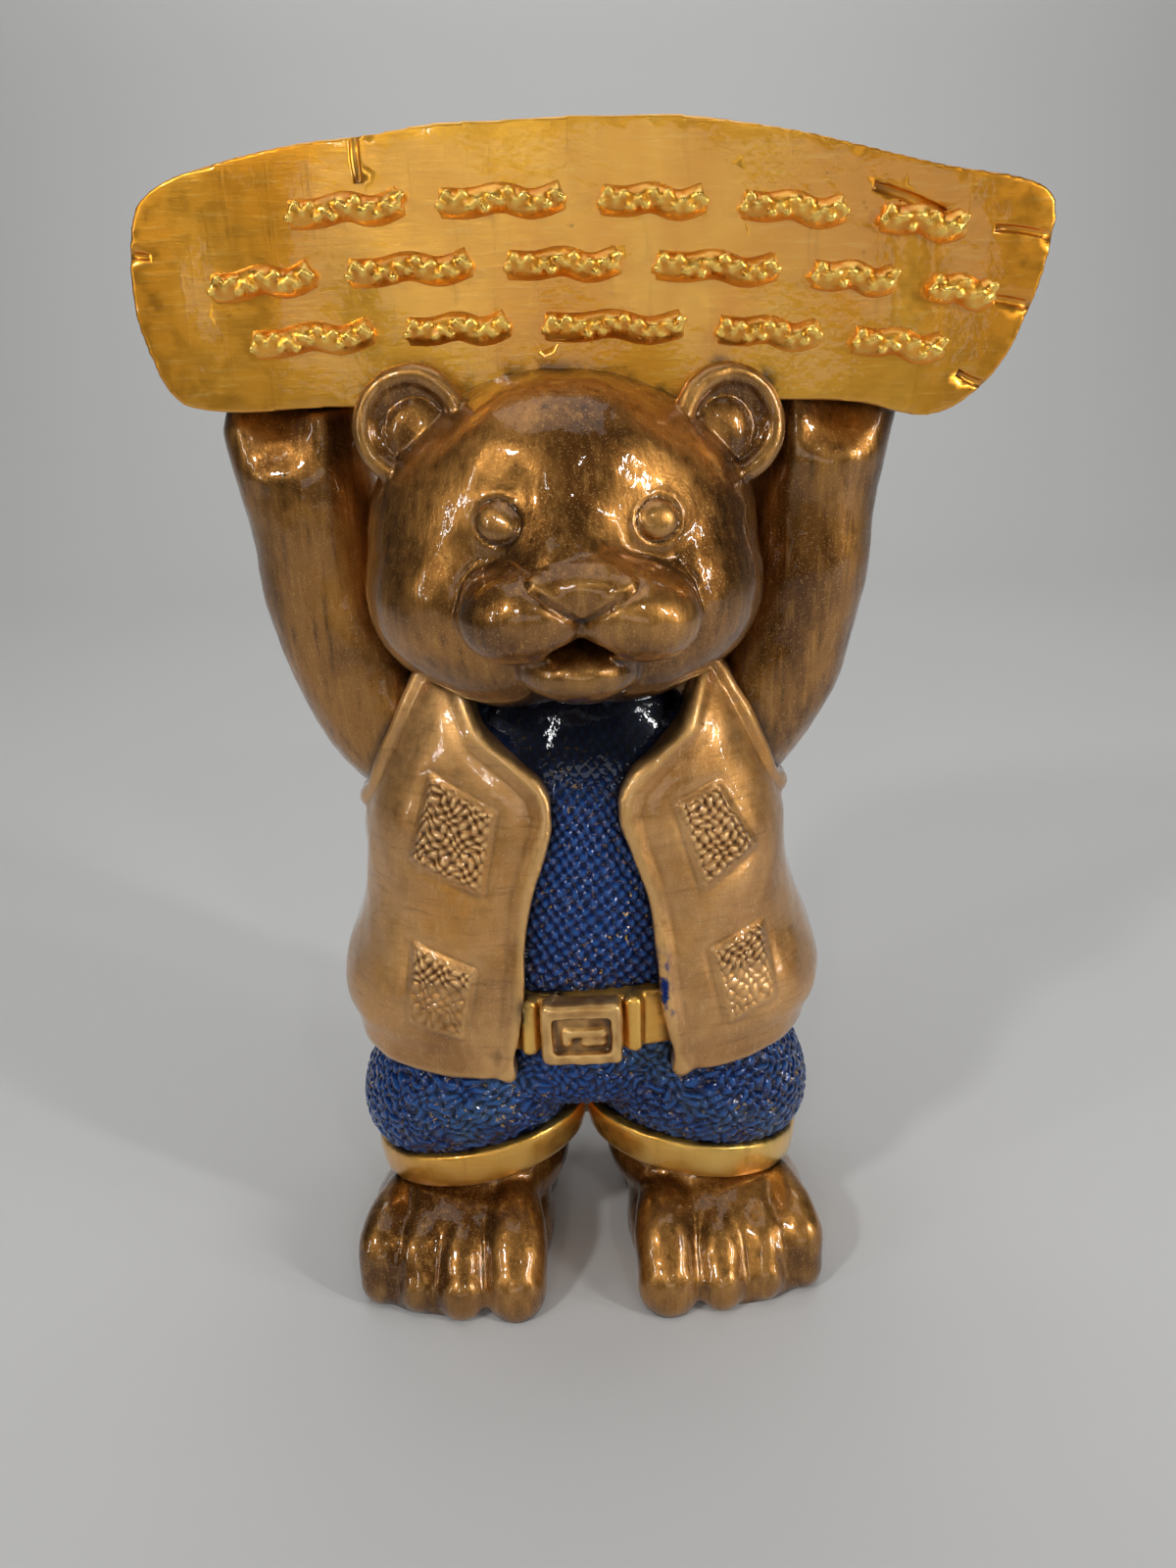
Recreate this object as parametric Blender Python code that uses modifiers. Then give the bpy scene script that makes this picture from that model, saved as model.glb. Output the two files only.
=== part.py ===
"""A cast resin bear in an open vest that holds a plank sign over its head.

The statue is one casting, so it is one object. Its masses are modelled one by one, as a
sculptor would build them up, and a voxel remesh then fuses them into one closed body.
It faces -Y, stands on the floor at z = 0, and its bounding box is centred on x = y = 0.
"""

import math

import bmesh
import bpy
from mathutils import Euler, Matrix, Vector

# The statue's height. The pose, the proportions and the carving are shares of it: mm is
# one millimetre of the statue at its standard height of 376 mm.
HEIGHT = 0.376
mm = HEIGHT / 376

# Sizes that can be set by themselves
SIGN_WIDTH = 0.265
SIGN_THICKNESS = 0.025
SIGN_TILT = math.radians(2.1)
SIGN_OFFSET = 0.0098
VEST_THICKNESS = 0.0055
VEST_LEAN = 0.004
ARMHOLE_ROLL = 0.004
POCKET_RAISE = 0.0024
CUFF_HEIGHT = 0.0155
CUFF_RAISE = 0.0022
BELT_WIDTH = 0.022
BELT_RAISE = 0.003
BUCKLE_WIDTH = 0.027
BUCKLE_RAISE = 0.0035
STROKE_RADIUS = 0.0042
STROKE_RAISE = 0.0031
CRACK_RADIUS = 0.0013
EYE_RADIUS = 0.0072
EAR_RADIUS = 0.0137
EAR_ROLL = 0.0034
FACE_TURN = math.radians(3)
FACE_OFFSET = 0.002

# Heights at which the clothes meet
CUFF_FOOT = 32 * mm
BELT_MIDDLE = 108 * mm
SIGN_FOOT = 300 * mm

# Fineness of the fused surface
VOXEL = 1.5 * mm
TRIANGLES = 9600


def place(*numbers):
    """A point or a set of radii, given in millimetres of the standard statue."""
    return Vector(numbers) * mm


def mesh_object(name, shells):
    """An object that holds a bmesh, linked to the scene."""
    mesh = bpy.data.meshes.new(name)
    shells.to_mesh(mesh)
    shells.free()
    made = bpy.data.objects.new(name, mesh)
    bpy.context.scene.collection.objects.link(made)
    return made


def baked(source, name):
    """The source as a plain mesh object, with its modifiers and place applied; the source goes."""
    bpy.context.view_layer.update()
    graph = bpy.context.evaluated_depsgraph_get()
    mesh = bpy.data.meshes.new_from_object(source.evaluated_get(graph))
    mesh.transform(source.matrix_world)
    bpy.data.objects.remove(source)
    shells = bmesh.new()
    shells.from_mesh(mesh)
    bpy.data.meshes.remove(mesh)
    bmesh.ops.remove_doubles(shells, verts=shells.verts, dist=0.01 * mm)
    bmesh.ops.recalc_face_normals(shells, faces=shells.faces)
    return mesh_object(name, shells)


def blob(name, centre, radii, turn=(0, 0, 0)):
    """An ellipsoid; the centre and radii are standard millimetres, the turn is in degrees."""
    shells = bmesh.new()
    matrix = (
        Matrix.Translation(place(*centre))
        @ Euler([math.radians(angle) for angle in turn]).to_matrix().to_4x4()
        @ Matrix.Diagonal((*place(*radii), 1))
    )
    bmesh.ops.create_uvsphere(shells, u_segments=32, v_segments=20, radius=1, matrix=matrix)
    return mesh_object(name, shells)


def block(name, centre, size, bevel, turn=(0, 0, 0)):
    """A box with rounded edges; its sizes are in metres and the turn in degrees."""
    shells = bmesh.new()
    bmesh.ops.create_cube(shells, size=1, matrix=Matrix.Diagonal((*size, 1)))
    made = mesh_object(name, shells)
    made.location = centre
    made.rotation_euler = [math.radians(angle) for angle in turn]
    rounding = made.modifiers.new("rounding", "BEVEL")
    rounding.width = bevel
    rounding.segments = 3
    return baked(made, name)


def tube(name, points, radii):
    """A round limb along a smooth curve, with a radius at each of its points, in metres."""
    curve = bpy.data.curves.new(name, "CURVE")
    curve.dimensions = "3D"
    curve.bevel_depth = 1
    curve.bevel_resolution = 4
    curve.use_fill_caps = True
    spline = curve.splines.new("BEZIER")
    spline.bezier_points.add(len(points) - 1)
    spline.resolution_u = 6
    for knot, point, radius in zip(spline.bezier_points, points, radii):
        knot.co = point
        knot.radius = radius
        knot.handle_left_type = knot.handle_right_type = "AUTO"
    made = bpy.data.objects.new(name, curve)
    bpy.context.scene.collection.objects.link(made)
    return baked(made, name)


def upright_prism(name, outline, front, back, smooth=True):
    """An outline of (x, z) points in metres, filled and drawn out from y = front to y = back."""
    curve = bpy.data.curves.new(name, "CURVE")
    curve.dimensions = "2D"
    curve.fill_mode = "BOTH"
    curve.extrude = (back - front) / 2
    spline = curve.splines.new("BEZIER")
    spline.bezier_points.add(len(outline) - 1)
    spline.use_cyclic_u = True
    spline.resolution_u = 5
    for knot, (x, z) in zip(spline.bezier_points, outline):
        knot.co = (x, z, 0)
        knot.handle_left_type = knot.handle_right_type = "AUTO" if smooth else "VECTOR"
    made = bpy.data.objects.new(name, curve)
    bpy.context.scene.collection.objects.link(made)
    made.rotation_euler = (math.pi / 2, 0, 0)
    made.location.y = (front + back) / 2
    return baked(made, name)


def loft(name, sections, grow=0.0, square=1.0, sides=20):
    """A soft body through stacked sections (z, centre x, half width, front y, back y).

    The sections are standard millimetres and grow is in metres. The rings make a coarse
    cage, which a Subdivision Surface rounds; under 1, square gives them fuller corners.
    """
    cage = bmesh.new()
    rings = []
    for z, middle, half_width, front, back in sections:
        centre = place(middle, (front + back) / 2, z)
        wide = half_width * mm + grow
        deep = (back - front) / 2 * mm + grow
        ring = []
        for side in range(sides):
            across = math.cos(math.tau * side / sides)
            along = math.sin(math.tau * side / sides)
            x = wide * math.copysign(abs(across) ** square, across)
            y = deep * math.copysign(abs(along) ** square, along)
            ring.append(cage.verts.new(centre + Vector((x, y, 0))))
        rings.append(ring)
    for lower, upper in zip(rings, rings[1:]):
        for side in range(sides):
            after = (side + 1) % sides
            cage.faces.new((lower[side], lower[after], upper[after], upper[side]))
    cage.faces.new(reversed(rings[0]))
    cage.faces.new(rings[-1])
    made = mesh_object(name, cage)
    rounding = made.modifiers.new("rounding", "SUBSURF")
    rounding.levels = rounding.render_levels = 2
    return baked(made, name)


def fused(name, parts, voxel, rounds):
    """The parts remeshed into one skin, with its creases smoothed; the parts go."""
    shells = bmesh.new()
    for part in parts:
        shells.from_mesh(part.data)
        bpy.data.objects.remove(part)
    made = mesh_object(name, shells)
    skin = made.modifiers.new("skin", "REMESH")
    skin.mode = "VOXEL"
    skin.voxel_size = voxel
    softening = made.modifiers.new("softening", "SMOOTH")
    softening.factor = 0.5
    softening.iterations = rounds
    return baked(made, name)


def changed(target, tool, operation):
    """The target after an EXACT Boolean with the tool; the tool goes."""
    name = target.name
    change = target.modifiers.new(operation.lower(), "BOOLEAN")
    change.operation = operation
    change.object = tool
    made = baked(target, name)
    bpy.data.objects.remove(tool)
    return made


def cut(target, *tools):
    """The target less each of the tools."""
    for tool in tools:
        target = changed(target, tool, "DIFFERENCE")
    return target


def moved(part, matrix):
    """The part with its mesh moved by a matrix."""
    part.data.transform(matrix)
    return part


def facing(parts):
    """Turns the parts of the face a little to one side, about the middle of the head."""
    middle = place(0, -22, 0)
    turn = (
        Matrix.Translation(middle + Vector((FACE_OFFSET, 0, 0)))
        @ Matrix.Rotation(FACE_TURN, 4, "Z")
        @ Matrix.Translation(-middle)
    )
    return [moved(part, turn) for part in parts]


def skull():
    """The round skull with its cheeks, and a shallow hollow over each eye."""
    masses = [
        blob("crown", (0, -22, 264), (60, 48, 48.5)),
        blob("forehead", (0, -38, 277), (41, 32, 34)),
        blob("bridge", (0, -58, 264), (20, 20, 20)),
    ]
    for side in (-1, 1):
        masses.append(blob("cheek", (26.5 * side, -26, 248), (36, 43, 34)))
        masses.append(blob("jaw", (16 * side, -34, 231), (31, 34, 25)))
    rounded = fused("skull", masses, 2 * VOXEL, 8)
    hollows = [
        blob("hollow", (21.5 * side, -74, 284), (10, 8, 11), (12, 0, 12 * side)) for side in (-1, 1)
    ]
    return cut(rounded, *facing(hollows))


def muzzle():
    """Two flat lobes over an open mouth, with the chin under it."""
    masses = [blob("bridge", (0, -68, 257), (19, 19, 13))]
    for side in (-1, 1):
        masses.append(blob("lobe", (15.5 * side, -69, 248), (20, 21, 16.5), (0, 10 * side, -10 * side)))
    rounded = fused("muzzle", masses, VOXEL, 6)
    mouth = blob("mouth", (0, -86, 233.5), (10, 19, 5.4), (14, 0, 0))
    parted = [place(0, -96, 244), place(0, -94, 239), place(0, -88, 235)]
    cleft = tube("cleft", parted, [0.8 * mm, 2.6 * mm, 4.5 * mm])
    return cut(rounded, mouth, cleft)


# The nose pad's outline, as (x, z)
NOSE = [
    (-14.5, 261), (-8, 264.5), (0, 265.5), (8, 264.5), (14.5, 261), (13, 258), (6, 251.5), (0, 247.5),
    (-6, 251.5), (-13, 258),
]


def nose():
    """A wide nose that narrows downward to the cleft."""
    trim = upright_prism("trim", [(x * mm, z * mm) for x, z in NOSE], -120 * mm, -50 * mm)
    pad = blob("nose", (0, -72, 253), (25, 20.5, 23))
    return changed(pad, trim, "INTERSECT")


def head():
    """The skull with the face on it."""
    wide = EYE_RADIUS / mm
    eyes = [blob("eye", (22.3 * side, -63, 272.5), (wide, wide, wide)) for side in (-1, 1)]
    chin = blob("chin", (0, -60, 227), (23, 21, 13))
    return [skull(), *facing([muzzle(), chin, nose(), *eyes])]


def ear(side):
    """A round ear with a thick rolled rim and a pad that nearly fills its bowl."""
    middle = place(46 * side, -36, 298)
    lean = (-8, 0, 12 * side)
    tilt = Euler([math.radians(angle) for angle in lean]).to_matrix().to_4x4()
    bpy.ops.mesh.primitive_torus_add(
        major_segments=36, minor_segments=12, major_radius=EAR_RADIUS, minor_radius=EAR_ROLL
    )
    rim = baked(bpy.context.object, "rim")
    moved(rim, Matrix.Translation(middle) @ tilt @ Matrix.Rotation(math.pi / 2, 4, "X"))
    wide = EAR_RADIUS / mm
    back = blob("ear_back", (46 * side, -29, 298), (wide + 1, 9, wide + 1), lean)
    bowl = blob("bowl", (46 * side, -41, 298), (wide - 2.2, 9, wide - 2.2), lean)
    bump = blob("bump", (44.5 * side, -31, 297), (wide * 0.62, 6, wide * 0.66), lean)
    return facing([rim, cut(back, bowl), bump])


def arm(side):
    """An arm that widens upward into a cupped paw, which holds the sign from below."""
    path = [(42, 2, 178), (64.5, 1, 204), (77.5, 0, 240), (80.5, 0, 270), (85, 0, 300)]
    radii = [25, 24, 22.7, 22.5, 23.5]
    limb = tube("limb", [place(x * side, y, z) for x, y, z in path], [radius * mm for radius in radii])
    palm = blob("palm", (86 * side, -1, 296), (21, 21, 17))
    cup = blob("cup", (88 * side, -24, 302), (13, 14, 16), (0, -8 * side, 0))
    limb = fused("limb", [cut(fused("limb", [limb, palm], VOXEL, 4), cup)], VOXEL, 6)
    fingers = []
    for number in range(4):
        x = (72 + 9.5 * number) * side
        knuckles = [place(x, 7, 290), place(x, 9, 308), place(x, 1, 323)]
        fingers.append(tube("finger", knuckles, [7.2 * mm, 6.8 * mm, 5 * mm]))
    return [limb, *fingers]


TORSO = [
    (70, 0, 70, -50, 44),
    (88, 0, 79, -57, 51),
    (105, 0, 79, -58, 53),
    (125, 0, 74, -56, 51),
    (150, 0, 67, -52, 47),
    (175, 0, 64, -48, 44),
    (195, 0, 58, -43, 41),
    (212, 0, 44, -36, 36),
    (224, 0, 26, -28, 28),
]

VEST = [
    (86, 0, 72, -57, 50),
    (90, 0, 77, -60, 54),
    (104, 0.5, 83.5, -60, 55),
    (116, 0.5, 81.5, -58, 53),
    (130, 0.5, 74, -55, 50),
    (148, 0, 70, -51, 47),
    (164, 0, 70, -49, 45),
    (176, 0, 67, -47, 44),
    (190, 0, 62, -44, 42),
    (204, 0, 57, -40, 39),
    (216, 0, 52, -35, 36),
    (222, 0, 47, -30, 31),
]

# Half widths of the vest's front opening, as (half width, z)
OPENING = [
    (28.5, 60), (28, 85), (25.5, 102), (23, 118), (21.5, 136), (19, 152), (14, 167), (11.5, 178),
    (13.5, 187), (22, 195), (32, 203), (36.5, 214), (41, 228),
]


def vest_shell(name, thickness):
    """The closed outer form of the vest, with its squarish front."""
    return loft(name, VEST, grow=thickness, square=0.75)


def vest():
    """The open vest: a shell over the torso, parted by its curved front opening."""
    right = [(VEST_LEAN + x * mm, z * mm) for x, z in OPENING]
    left = [(VEST_LEAN - x * mm, z * mm) for x, z in reversed(OPENING)]
    opening = upright_prism("opening", right + left, -110 * mm, -20 * mm)
    return [cut(vest_shell("vest", VEST_THICKNESS), opening), armhole(-1), armhole(1)]


# The rolled edge of the vest round an arm, as (x, y, z, share of its radius)
ARMHOLE = [
    (46, -22, 223, 0.65), (51.5, -24, 213, 0.75), (57.5, -24.5, 201.5, 0.8), (62.5, -23, 191, 0.85),
    (66, -20, 181, 0.9), (70.5, -10, 173, 1.1), (71.5, 2, 170.5, 1.1), (69, 14, 176, 0.9),
    (62, 22, 192, 0.8), (49, 22, 214, 0.75),
]


def armhole(side):
    """The rolled edge of the vest round an arm, with a knob at the armpit."""
    path = [place(x * side, y, z) for x, y, z, share in ARMHOLE]
    return tube("armhole", path, [share * ARMHOLE_ROLL for x, y, z, share in ARMHOLE])


# Corners of the four pockets, as (x, z)
POCKETS = [
    [(-45.3, 189.7), (-25.8, 179.5), (-31, 154.3), (-53.5, 162.7)],
    [(34, 179.5), (47, 184), (59, 162), (41.8, 152.8)],
    [(-54.5, 133.7), (-35, 127.2), (-39.5, 105.5), (-57.2, 109)],
    [(44.3, 130.5), (61.3, 135), (65, 111.2), (49.5, 106.5)],
]


def pockets():
    """Four patch pockets on the front of the vest."""
    made = []
    for outline in POCKETS:
        shape = [(x * mm, z * mm) for x, z in outline]
        trim = upright_prism("trim", shape, -110 * mm, 0, smooth=False)
        made.append(changed(vest_shell("patch", VEST_THICKNESS + POCKET_RAISE), trim, "INTERSECT"))
    return made


# Sections of a trouser leg, as (z, half width, front y, back y)
LEG = [
    (38, 33, -47, 17),
    (46, 36, -51, 21),
    (52, 41, -56, 27),
    (62, 43.5, -59, 34),
    (74, 42, -58, 40),
    (84, 36, -54, 42),
    (92, 32, -50, 40),
]
LEG_MIDDLE = 41


def trousers():
    """The seat and both legs, which touch at the crotch."""
    seat = [
        (64, 0, 56, -44, 40),
        (74, 0, 76, -56, 47),
        (84, 0, 77, -57, 50),
        (96, 0, 77, -58, 51),
        (106, 0, 72, -53, 47),
    ]
    masses = [loft("seat", seat)]
    for side in (-1, 1):
        leg = loft("leg", [(z, LEG_MIDDLE * side, wide, *depth) for z, wide, *depth in LEG])
        masses.append(moved(leg, sloping(side)))
    return fused("trousers", masses, VOXEL, 5)


def sloping(side):
    """A shear that lifts the foot of a trouser leg in front and on the inside."""
    slope = Matrix.Identity(4)
    slope[2][0] = -0.17 * side
    slope[2][1] = -0.17
    middle = place(LEG_MIDDLE * side, -16, 0)
    return Matrix.Translation(middle) @ slope @ Matrix.Translation(-middle)


def cuff(side):
    """The turned-up band at the foot of a leg."""
    low = CUFF_FOOT / mm
    high = (CUFF_FOOT + CUFF_HEIGHT) / mm
    sections = [
        (low, 39.5 * side, 35, -50, 18),
        (low + 0.7, 39.5 * side, 37, -52, 20),
        ((low + high) / 2, 39.5 * side, 38, -53, 21),
        (high - 0.7, 39.5 * side, 38.5, -53.5, 22),
        (high, 39.5 * side, 36.5, -51.5, 20),
    ]
    return moved(loft("cuff", sections, grow=CUFF_RAISE), sloping(side))


def foot(side):
    """A broad foot with four long toes that fan out, and the ankle above it."""
    masses = [
        blob("instep", (47 * side, -30, 6), (37, 38, 31)),
        blob("heel", (42 * side, 0, 8), (30, 30, 30)),
        blob("ankle", (38 * side, -15, 30), (31, 32, 24)),
    ]
    body = fused("foot", masses, VOXEL, 5)
    toes = []
    for x, tip, radius in ((27, -80.5, 11), (45.5, -79.5, 8.8), (60.5, -75.5, 8.2), (74.5, -70.5, 8.6)):
        end = tip + radius
        root = place((x * 0.85 + 6) * side, -34, 25)
        knuckles = [root, place(x * side, -58, 19), place(x * side, end, 9)]
        widths = [radius * 0.95 * mm, radius * 1.04 * mm, radius * 0.95 * mm]
        toes.append(tube("toe", knuckles, widths))
        toes.append(blob("tip", (x * side, end, 8), (radius * 0.97, radius, radius * 1.15)))
    return [body, *toes]


def belt():
    """The belt, its square buckle with an open window, and a loop each side of it."""
    middle = BELT_MIDDLE / mm
    half = BELT_WIDTH / 2 / mm
    sections = [
        (middle - half, 0, 78, -58, 52),
        (middle - half + 1, 0, 79, -59, 54),
        (middle, 0, 78.5, -58.5, 53.5),
        (middle + half - 1, 0, 77, -58, 53),
        (middle + half, 0, 76, -57, 52),
    ]
    band = loft("belt", sections, grow=BELT_RAISE)
    face = -59 * mm - BELT_RAISE - BUCKLE_RAISE
    deep = 4 * BUCKLE_RAISE
    tall = BELT_WIDTH + 4 * mm
    low = BELT_MIDDLE - 1.5 * mm
    buckle = block("buckle", (0, face + deep / 2, low), (BUCKLE_WIDTH, deep, tall), 2.6 * mm)
    hollow = (BUCKLE_WIDTH * 0.72, BUCKLE_RAISE * 1.5, tall * 0.6)
    window = block("window", (0, face, low), hollow, 1.6 * mm)
    bar = (BUCKLE_WIDTH * 0.5, BUCKLE_RAISE, tall * 0.14)
    tongue = block("tongue", (1 * mm, face + BUCKLE_RAISE * 0.85, low), bar, 1.1 * mm)
    loops = []
    for side in (-1, 1):
        centre = (side * (BUCKLE_WIDTH / 2 + 5 * mm), -57.5 * mm - BELT_RAISE, BELT_MIDDLE)
        size = (5 * mm, 9 * mm, BELT_WIDTH + 1 * mm)
        loops.append(block("loop", centre, size, 1.2 * mm, (0, 0, -8 * side)))
    return [band, cut(buckle, window), tongue, *loops]


def on_sign(x, y, z):
    """A point of the sign, from its place across the width, behind the front and above the foot."""
    tilted = Euler((0, SIGN_TILT, 0)).to_matrix() @ Vector((x, 0, z))
    bow = 4 * mm * (x / (SIGN_WIDTH / 2)) ** 2
    return tilted + Vector((SIGN_OFFSET, y + bow - 30 * mm, SIGN_FOOT))


def sign():
    """The plank: a bowed board with ragged ends, split by short cracks."""
    # Outline from the left foot round the top, as (share of the half width, height in mm)
    edge = [
        (-0.88, -0.5), (-0.925, 2), (-0.975, 14), (-1, 28), (-0.995, 40), (-0.98, 51), (-0.96, 56),
        (-0.79, 65), (-0.48, 72), (-0.13, 76.4), (0.27, 76.2), (0.53, 71.5), (0.73, 66), (0.985, 59),
        (1, 55), (1, 47), (0.985, 34), (0.965, 26), (0.93, 15), (0.87, 5.5), (0.81, 0), (0.75, -1.8),
        (0.6, 2), (0.4, 2.5), (0, 0), (-0.6, 0),
    ]
    half = SIGN_WIDTH / 2
    board = upright_prism("sign", [(share * half, z * mm) for share, z in edge], 0, SIGN_THICKNESS)
    rounding = board.modifiers.new("rounding", "BEVEL")
    rounding.width = 2.4 * mm
    rounding.segments = 3
    rounding.limit_method = "ANGLE"
    skin = board.modifiers.new("skin", "REMESH")
    skin.mode = "VOXEL"
    skin.voxel_size = VOXEL
    board = baked(board, "sign")
    for vertex in board.data.vertices:
        vertex.co = on_sign(*vertex.co)
    cracks = [
        [(0.6, 60), (0.68, 57), (0.76, 53)],
        [(0.87, 49.5), (0.93, 49), (1.02, 47)],
        [(0.86, 31), (0.93, 30), (1.02, 27)],
        [(0.82, 10.5), (0.86, 8), (0.92, 6)],
        [(-0.49, 77), (-0.495, 68), (-0.49, 60)],
        [(-1.02, 42), (-0.99, 41.5), (-0.95, 41)],
    ]
    grooves = []
    for route in cracks:
        points = [on_sign(share * half, -0.2 * mm, z * mm) for share, z in route]
        grooves.append(tube("crack", points, [CRACK_RADIUS] * len(points)))
    return cut(board, *grooves)


def strokes():
    """Three bowed rows of short raised strokes, where a sign carries its writing."""
    # Spans of the strokes in each row, as shares of the half width, by the row's height
    rows = {
        56: [(-0.64, -0.4), (-0.32, -0.06), (0.02, 0.24), (0.32, 0.54), (0.62, 0.8)],
        39.5: [(-0.82, -0.6), (-0.52, -0.26), (-0.18, 0.06), (0.14, 0.4), (0.48, 0.66), (0.74, 0.88)],
        23: [(-0.74, -0.48), (-0.4, -0.18), (-0.1, 0.2), (0.28, 0.5), (0.58, 0.78)],
    }
    half = SIGN_WIDTH / 2
    made = []
    for height, spans in rows.items():
        for start, end in spans:
            points = []
            for step in range(5):
                share = start + (end - start) * step / 4
                wave = 1.3 * math.sin(2.2 * math.tau * step / 4)
                z = height + wave - 10 * share**2
                points.append(on_sign(share * half, STROKE_RADIUS - STROKE_RAISE, z * mm))
            made.append(tube("stroke", points, [STROKE_RADIUS] * len(points)))
    return made


def masses():
    """Every mass of the statue, in its place."""
    made = [*head(), loft("torso", TORSO), *vest(), *pockets(), trousers(), *belt(), sign(), *strokes()]
    for side in (-1, 1):
        made += [*ear(side), *arm(side), cuff(side), *foot(side)]
    return made


def stood_up(statue):
    """Cuts the soles flat at z = 0 and centres the statue's box on x = y = 0."""
    ground = block("ground", (0, 0, -50 * mm), (600 * mm, 400 * mm, 100 * mm), 0.1 * mm)
    statue = cut(statue, ground)
    corners = [vertex.co for vertex in statue.data.vertices]
    shift = Vector((0, 0, 0))
    for axis in (0, 1):
        along = [corner[axis] for corner in corners]
        shift[axis] = -(min(along) + max(along)) / 2
    return moved(statue, Matrix.Translation(shift))


def painted_resin():
    """Glossy bronze-brown paint under clear resin."""
    paint = bpy.data.materials.new("painted_resin")
    paint.use_nodes = True
    shader = paint.node_tree.nodes["Principled BSDF"]
    shader.inputs["Base Color"].default_value = (0.20, 0.10, 0.04, 1)
    shader.inputs["Metallic"].default_value = 0.6
    shader.inputs["Roughness"].default_value = 0.35
    return paint


def main():
    for old in list(bpy.data.objects):
        bpy.data.objects.remove(old)
    statue = fused("bear_statue", masses(), VOXEL, rounds=2)
    faces = sum(len(face.vertices) - 2 for face in statue.data.polygons)
    thinning = statue.modifiers.new("thinning", "DECIMATE")
    thinning.ratio = TRIANGLES / faces
    statue = stood_up(baked(statue, "bear_statue"))
    statue.data.materials.append(painted_resin())
    statue.data.shade_smooth()
    collection = bpy.data.collections.new("resin bear statue")
    bpy.context.scene.collection.children.link(collection)
    collection.objects.link(statue)
    bpy.context.scene.collection.objects.unlink(statue)


main()
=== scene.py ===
"""The painted, clear-coated surface of the resin bear statue, with its studio.

The statue is one casting, so one closed piece replaces the one node of the model. Each painted
part is modelled finely, given its relief, and then joined to the others by Boolean unions,
so that the paint changes exactly along the crease between two parts.
"""

import math

import bmesh
import bpy
import numpy as np
from mathutils import Euler, Matrix, Vector
from mathutils.kdtree import KDTree


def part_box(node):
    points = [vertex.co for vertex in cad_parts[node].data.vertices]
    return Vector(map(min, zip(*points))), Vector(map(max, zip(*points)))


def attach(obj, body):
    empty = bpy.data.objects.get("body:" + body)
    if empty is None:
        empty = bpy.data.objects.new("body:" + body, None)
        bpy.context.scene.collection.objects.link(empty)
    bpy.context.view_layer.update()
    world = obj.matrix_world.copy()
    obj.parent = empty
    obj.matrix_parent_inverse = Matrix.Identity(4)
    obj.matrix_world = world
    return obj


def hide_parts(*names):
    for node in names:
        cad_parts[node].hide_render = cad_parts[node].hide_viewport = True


for name in ("Cube", "Light", "Camera"):
    if name in bpy.data.objects:
        bpy.data.objects.remove(bpy.data.objects[name])

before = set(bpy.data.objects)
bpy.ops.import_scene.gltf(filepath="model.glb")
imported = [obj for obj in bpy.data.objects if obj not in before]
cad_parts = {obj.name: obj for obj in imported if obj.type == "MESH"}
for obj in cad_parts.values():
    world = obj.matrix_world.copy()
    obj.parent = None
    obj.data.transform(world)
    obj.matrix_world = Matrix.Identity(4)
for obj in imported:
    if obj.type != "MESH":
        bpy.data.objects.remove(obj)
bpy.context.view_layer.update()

NODE = "bear_statue"

# The statue's height in the standard millimetres that the shapes below are given in
STANDARD_HEIGHT = 377
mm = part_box(NODE)[1][2] / STANDARD_HEIGHT

# Sizes that the solid has too
SIGN_WIDTH = 265 * mm
SIGN_THICKNESS = 25 * mm
SIGN_TILT = math.radians(2.1)
SIGN_OFFSET = 9.8 * mm
SIGN_FOOT = 300 * mm
SIGN_FRONT = -30 * mm
SIGN_BOW = 4 * mm
VEST_THICKNESS = 5.5 * mm
VEST_LEAN = 4 * mm
ARMHOLE_ROLL = 4 * mm
CUFF_FOOT = 32 * mm
CUFF_HEIGHT = 15.5 * mm
CUFF_RAISE = 2.2 * mm
BELT_MIDDLE = 108 * mm
BELT_WIDTH = 22 * mm
BELT_RAISE = 3 * mm
BUCKLE_WIDTH = 27 * mm
BUCKLE_RAISE = 3.5 * mm
STROKE_RADIUS = 4.2 * mm
STROKE_RAISE = 3.1 * mm
CRACK_RADIUS = 1.3 * mm
EYE_RADIUS = 7.2 * mm
EAR_RADIUS = 14.4 * mm
EAR_ROLL = 3.4 * mm
FACE_TURN = math.radians(3)
FACE_ROLL = math.radians(1.8)
FACE_OFFSET = 2 * mm

# Voxels of the painted parts before they are joined, and of the large soft forms in the face
FINE = 0.8 * mm
SOFT = 3 * mm

# Triangles that the joined surface is thinned to, and the smallest patch of paint that it keeps
TRIANGLES = 177000
SPECK_AREA = 20 * mm**2

# Bead pitches of the knit and the pockets, and the body's mean radius, in standard millimetres
BEAD_PITCH = 3.5
PEBBLE_PITCH = 2.8
BODY_RADIUS = 58

# The slant of the bead rows, and how fast a bead's height falls from its middle
BEAD_SLANT = math.radians(35)
BEAD_FALL = 2.6

# Ways that an ear leans back and turns outward, in degrees
EAR_LEAN = 8
EAR_TURN = 12

# The camera that took the photograph: its place in metres, and its angles in degrees
CAMERA_PLACE = (0.005, -0.396, 0.319)
CAMERA_DIP = 20.6
CAMERA_ROLL = 2.1
FOCAL_LENGTH = 27.05
SENSOR_HEIGHT = 36


def place(*numbers):
    """A point or a set of radii, given in standard millimetres."""
    return Vector(numbers) * mm


# Building blocks


def linked(name, data):
    """A new object in the scene that holds the data."""
    made = bpy.data.objects.new(name, data)
    bpy.context.scene.collection.objects.link(made)
    return made


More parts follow.
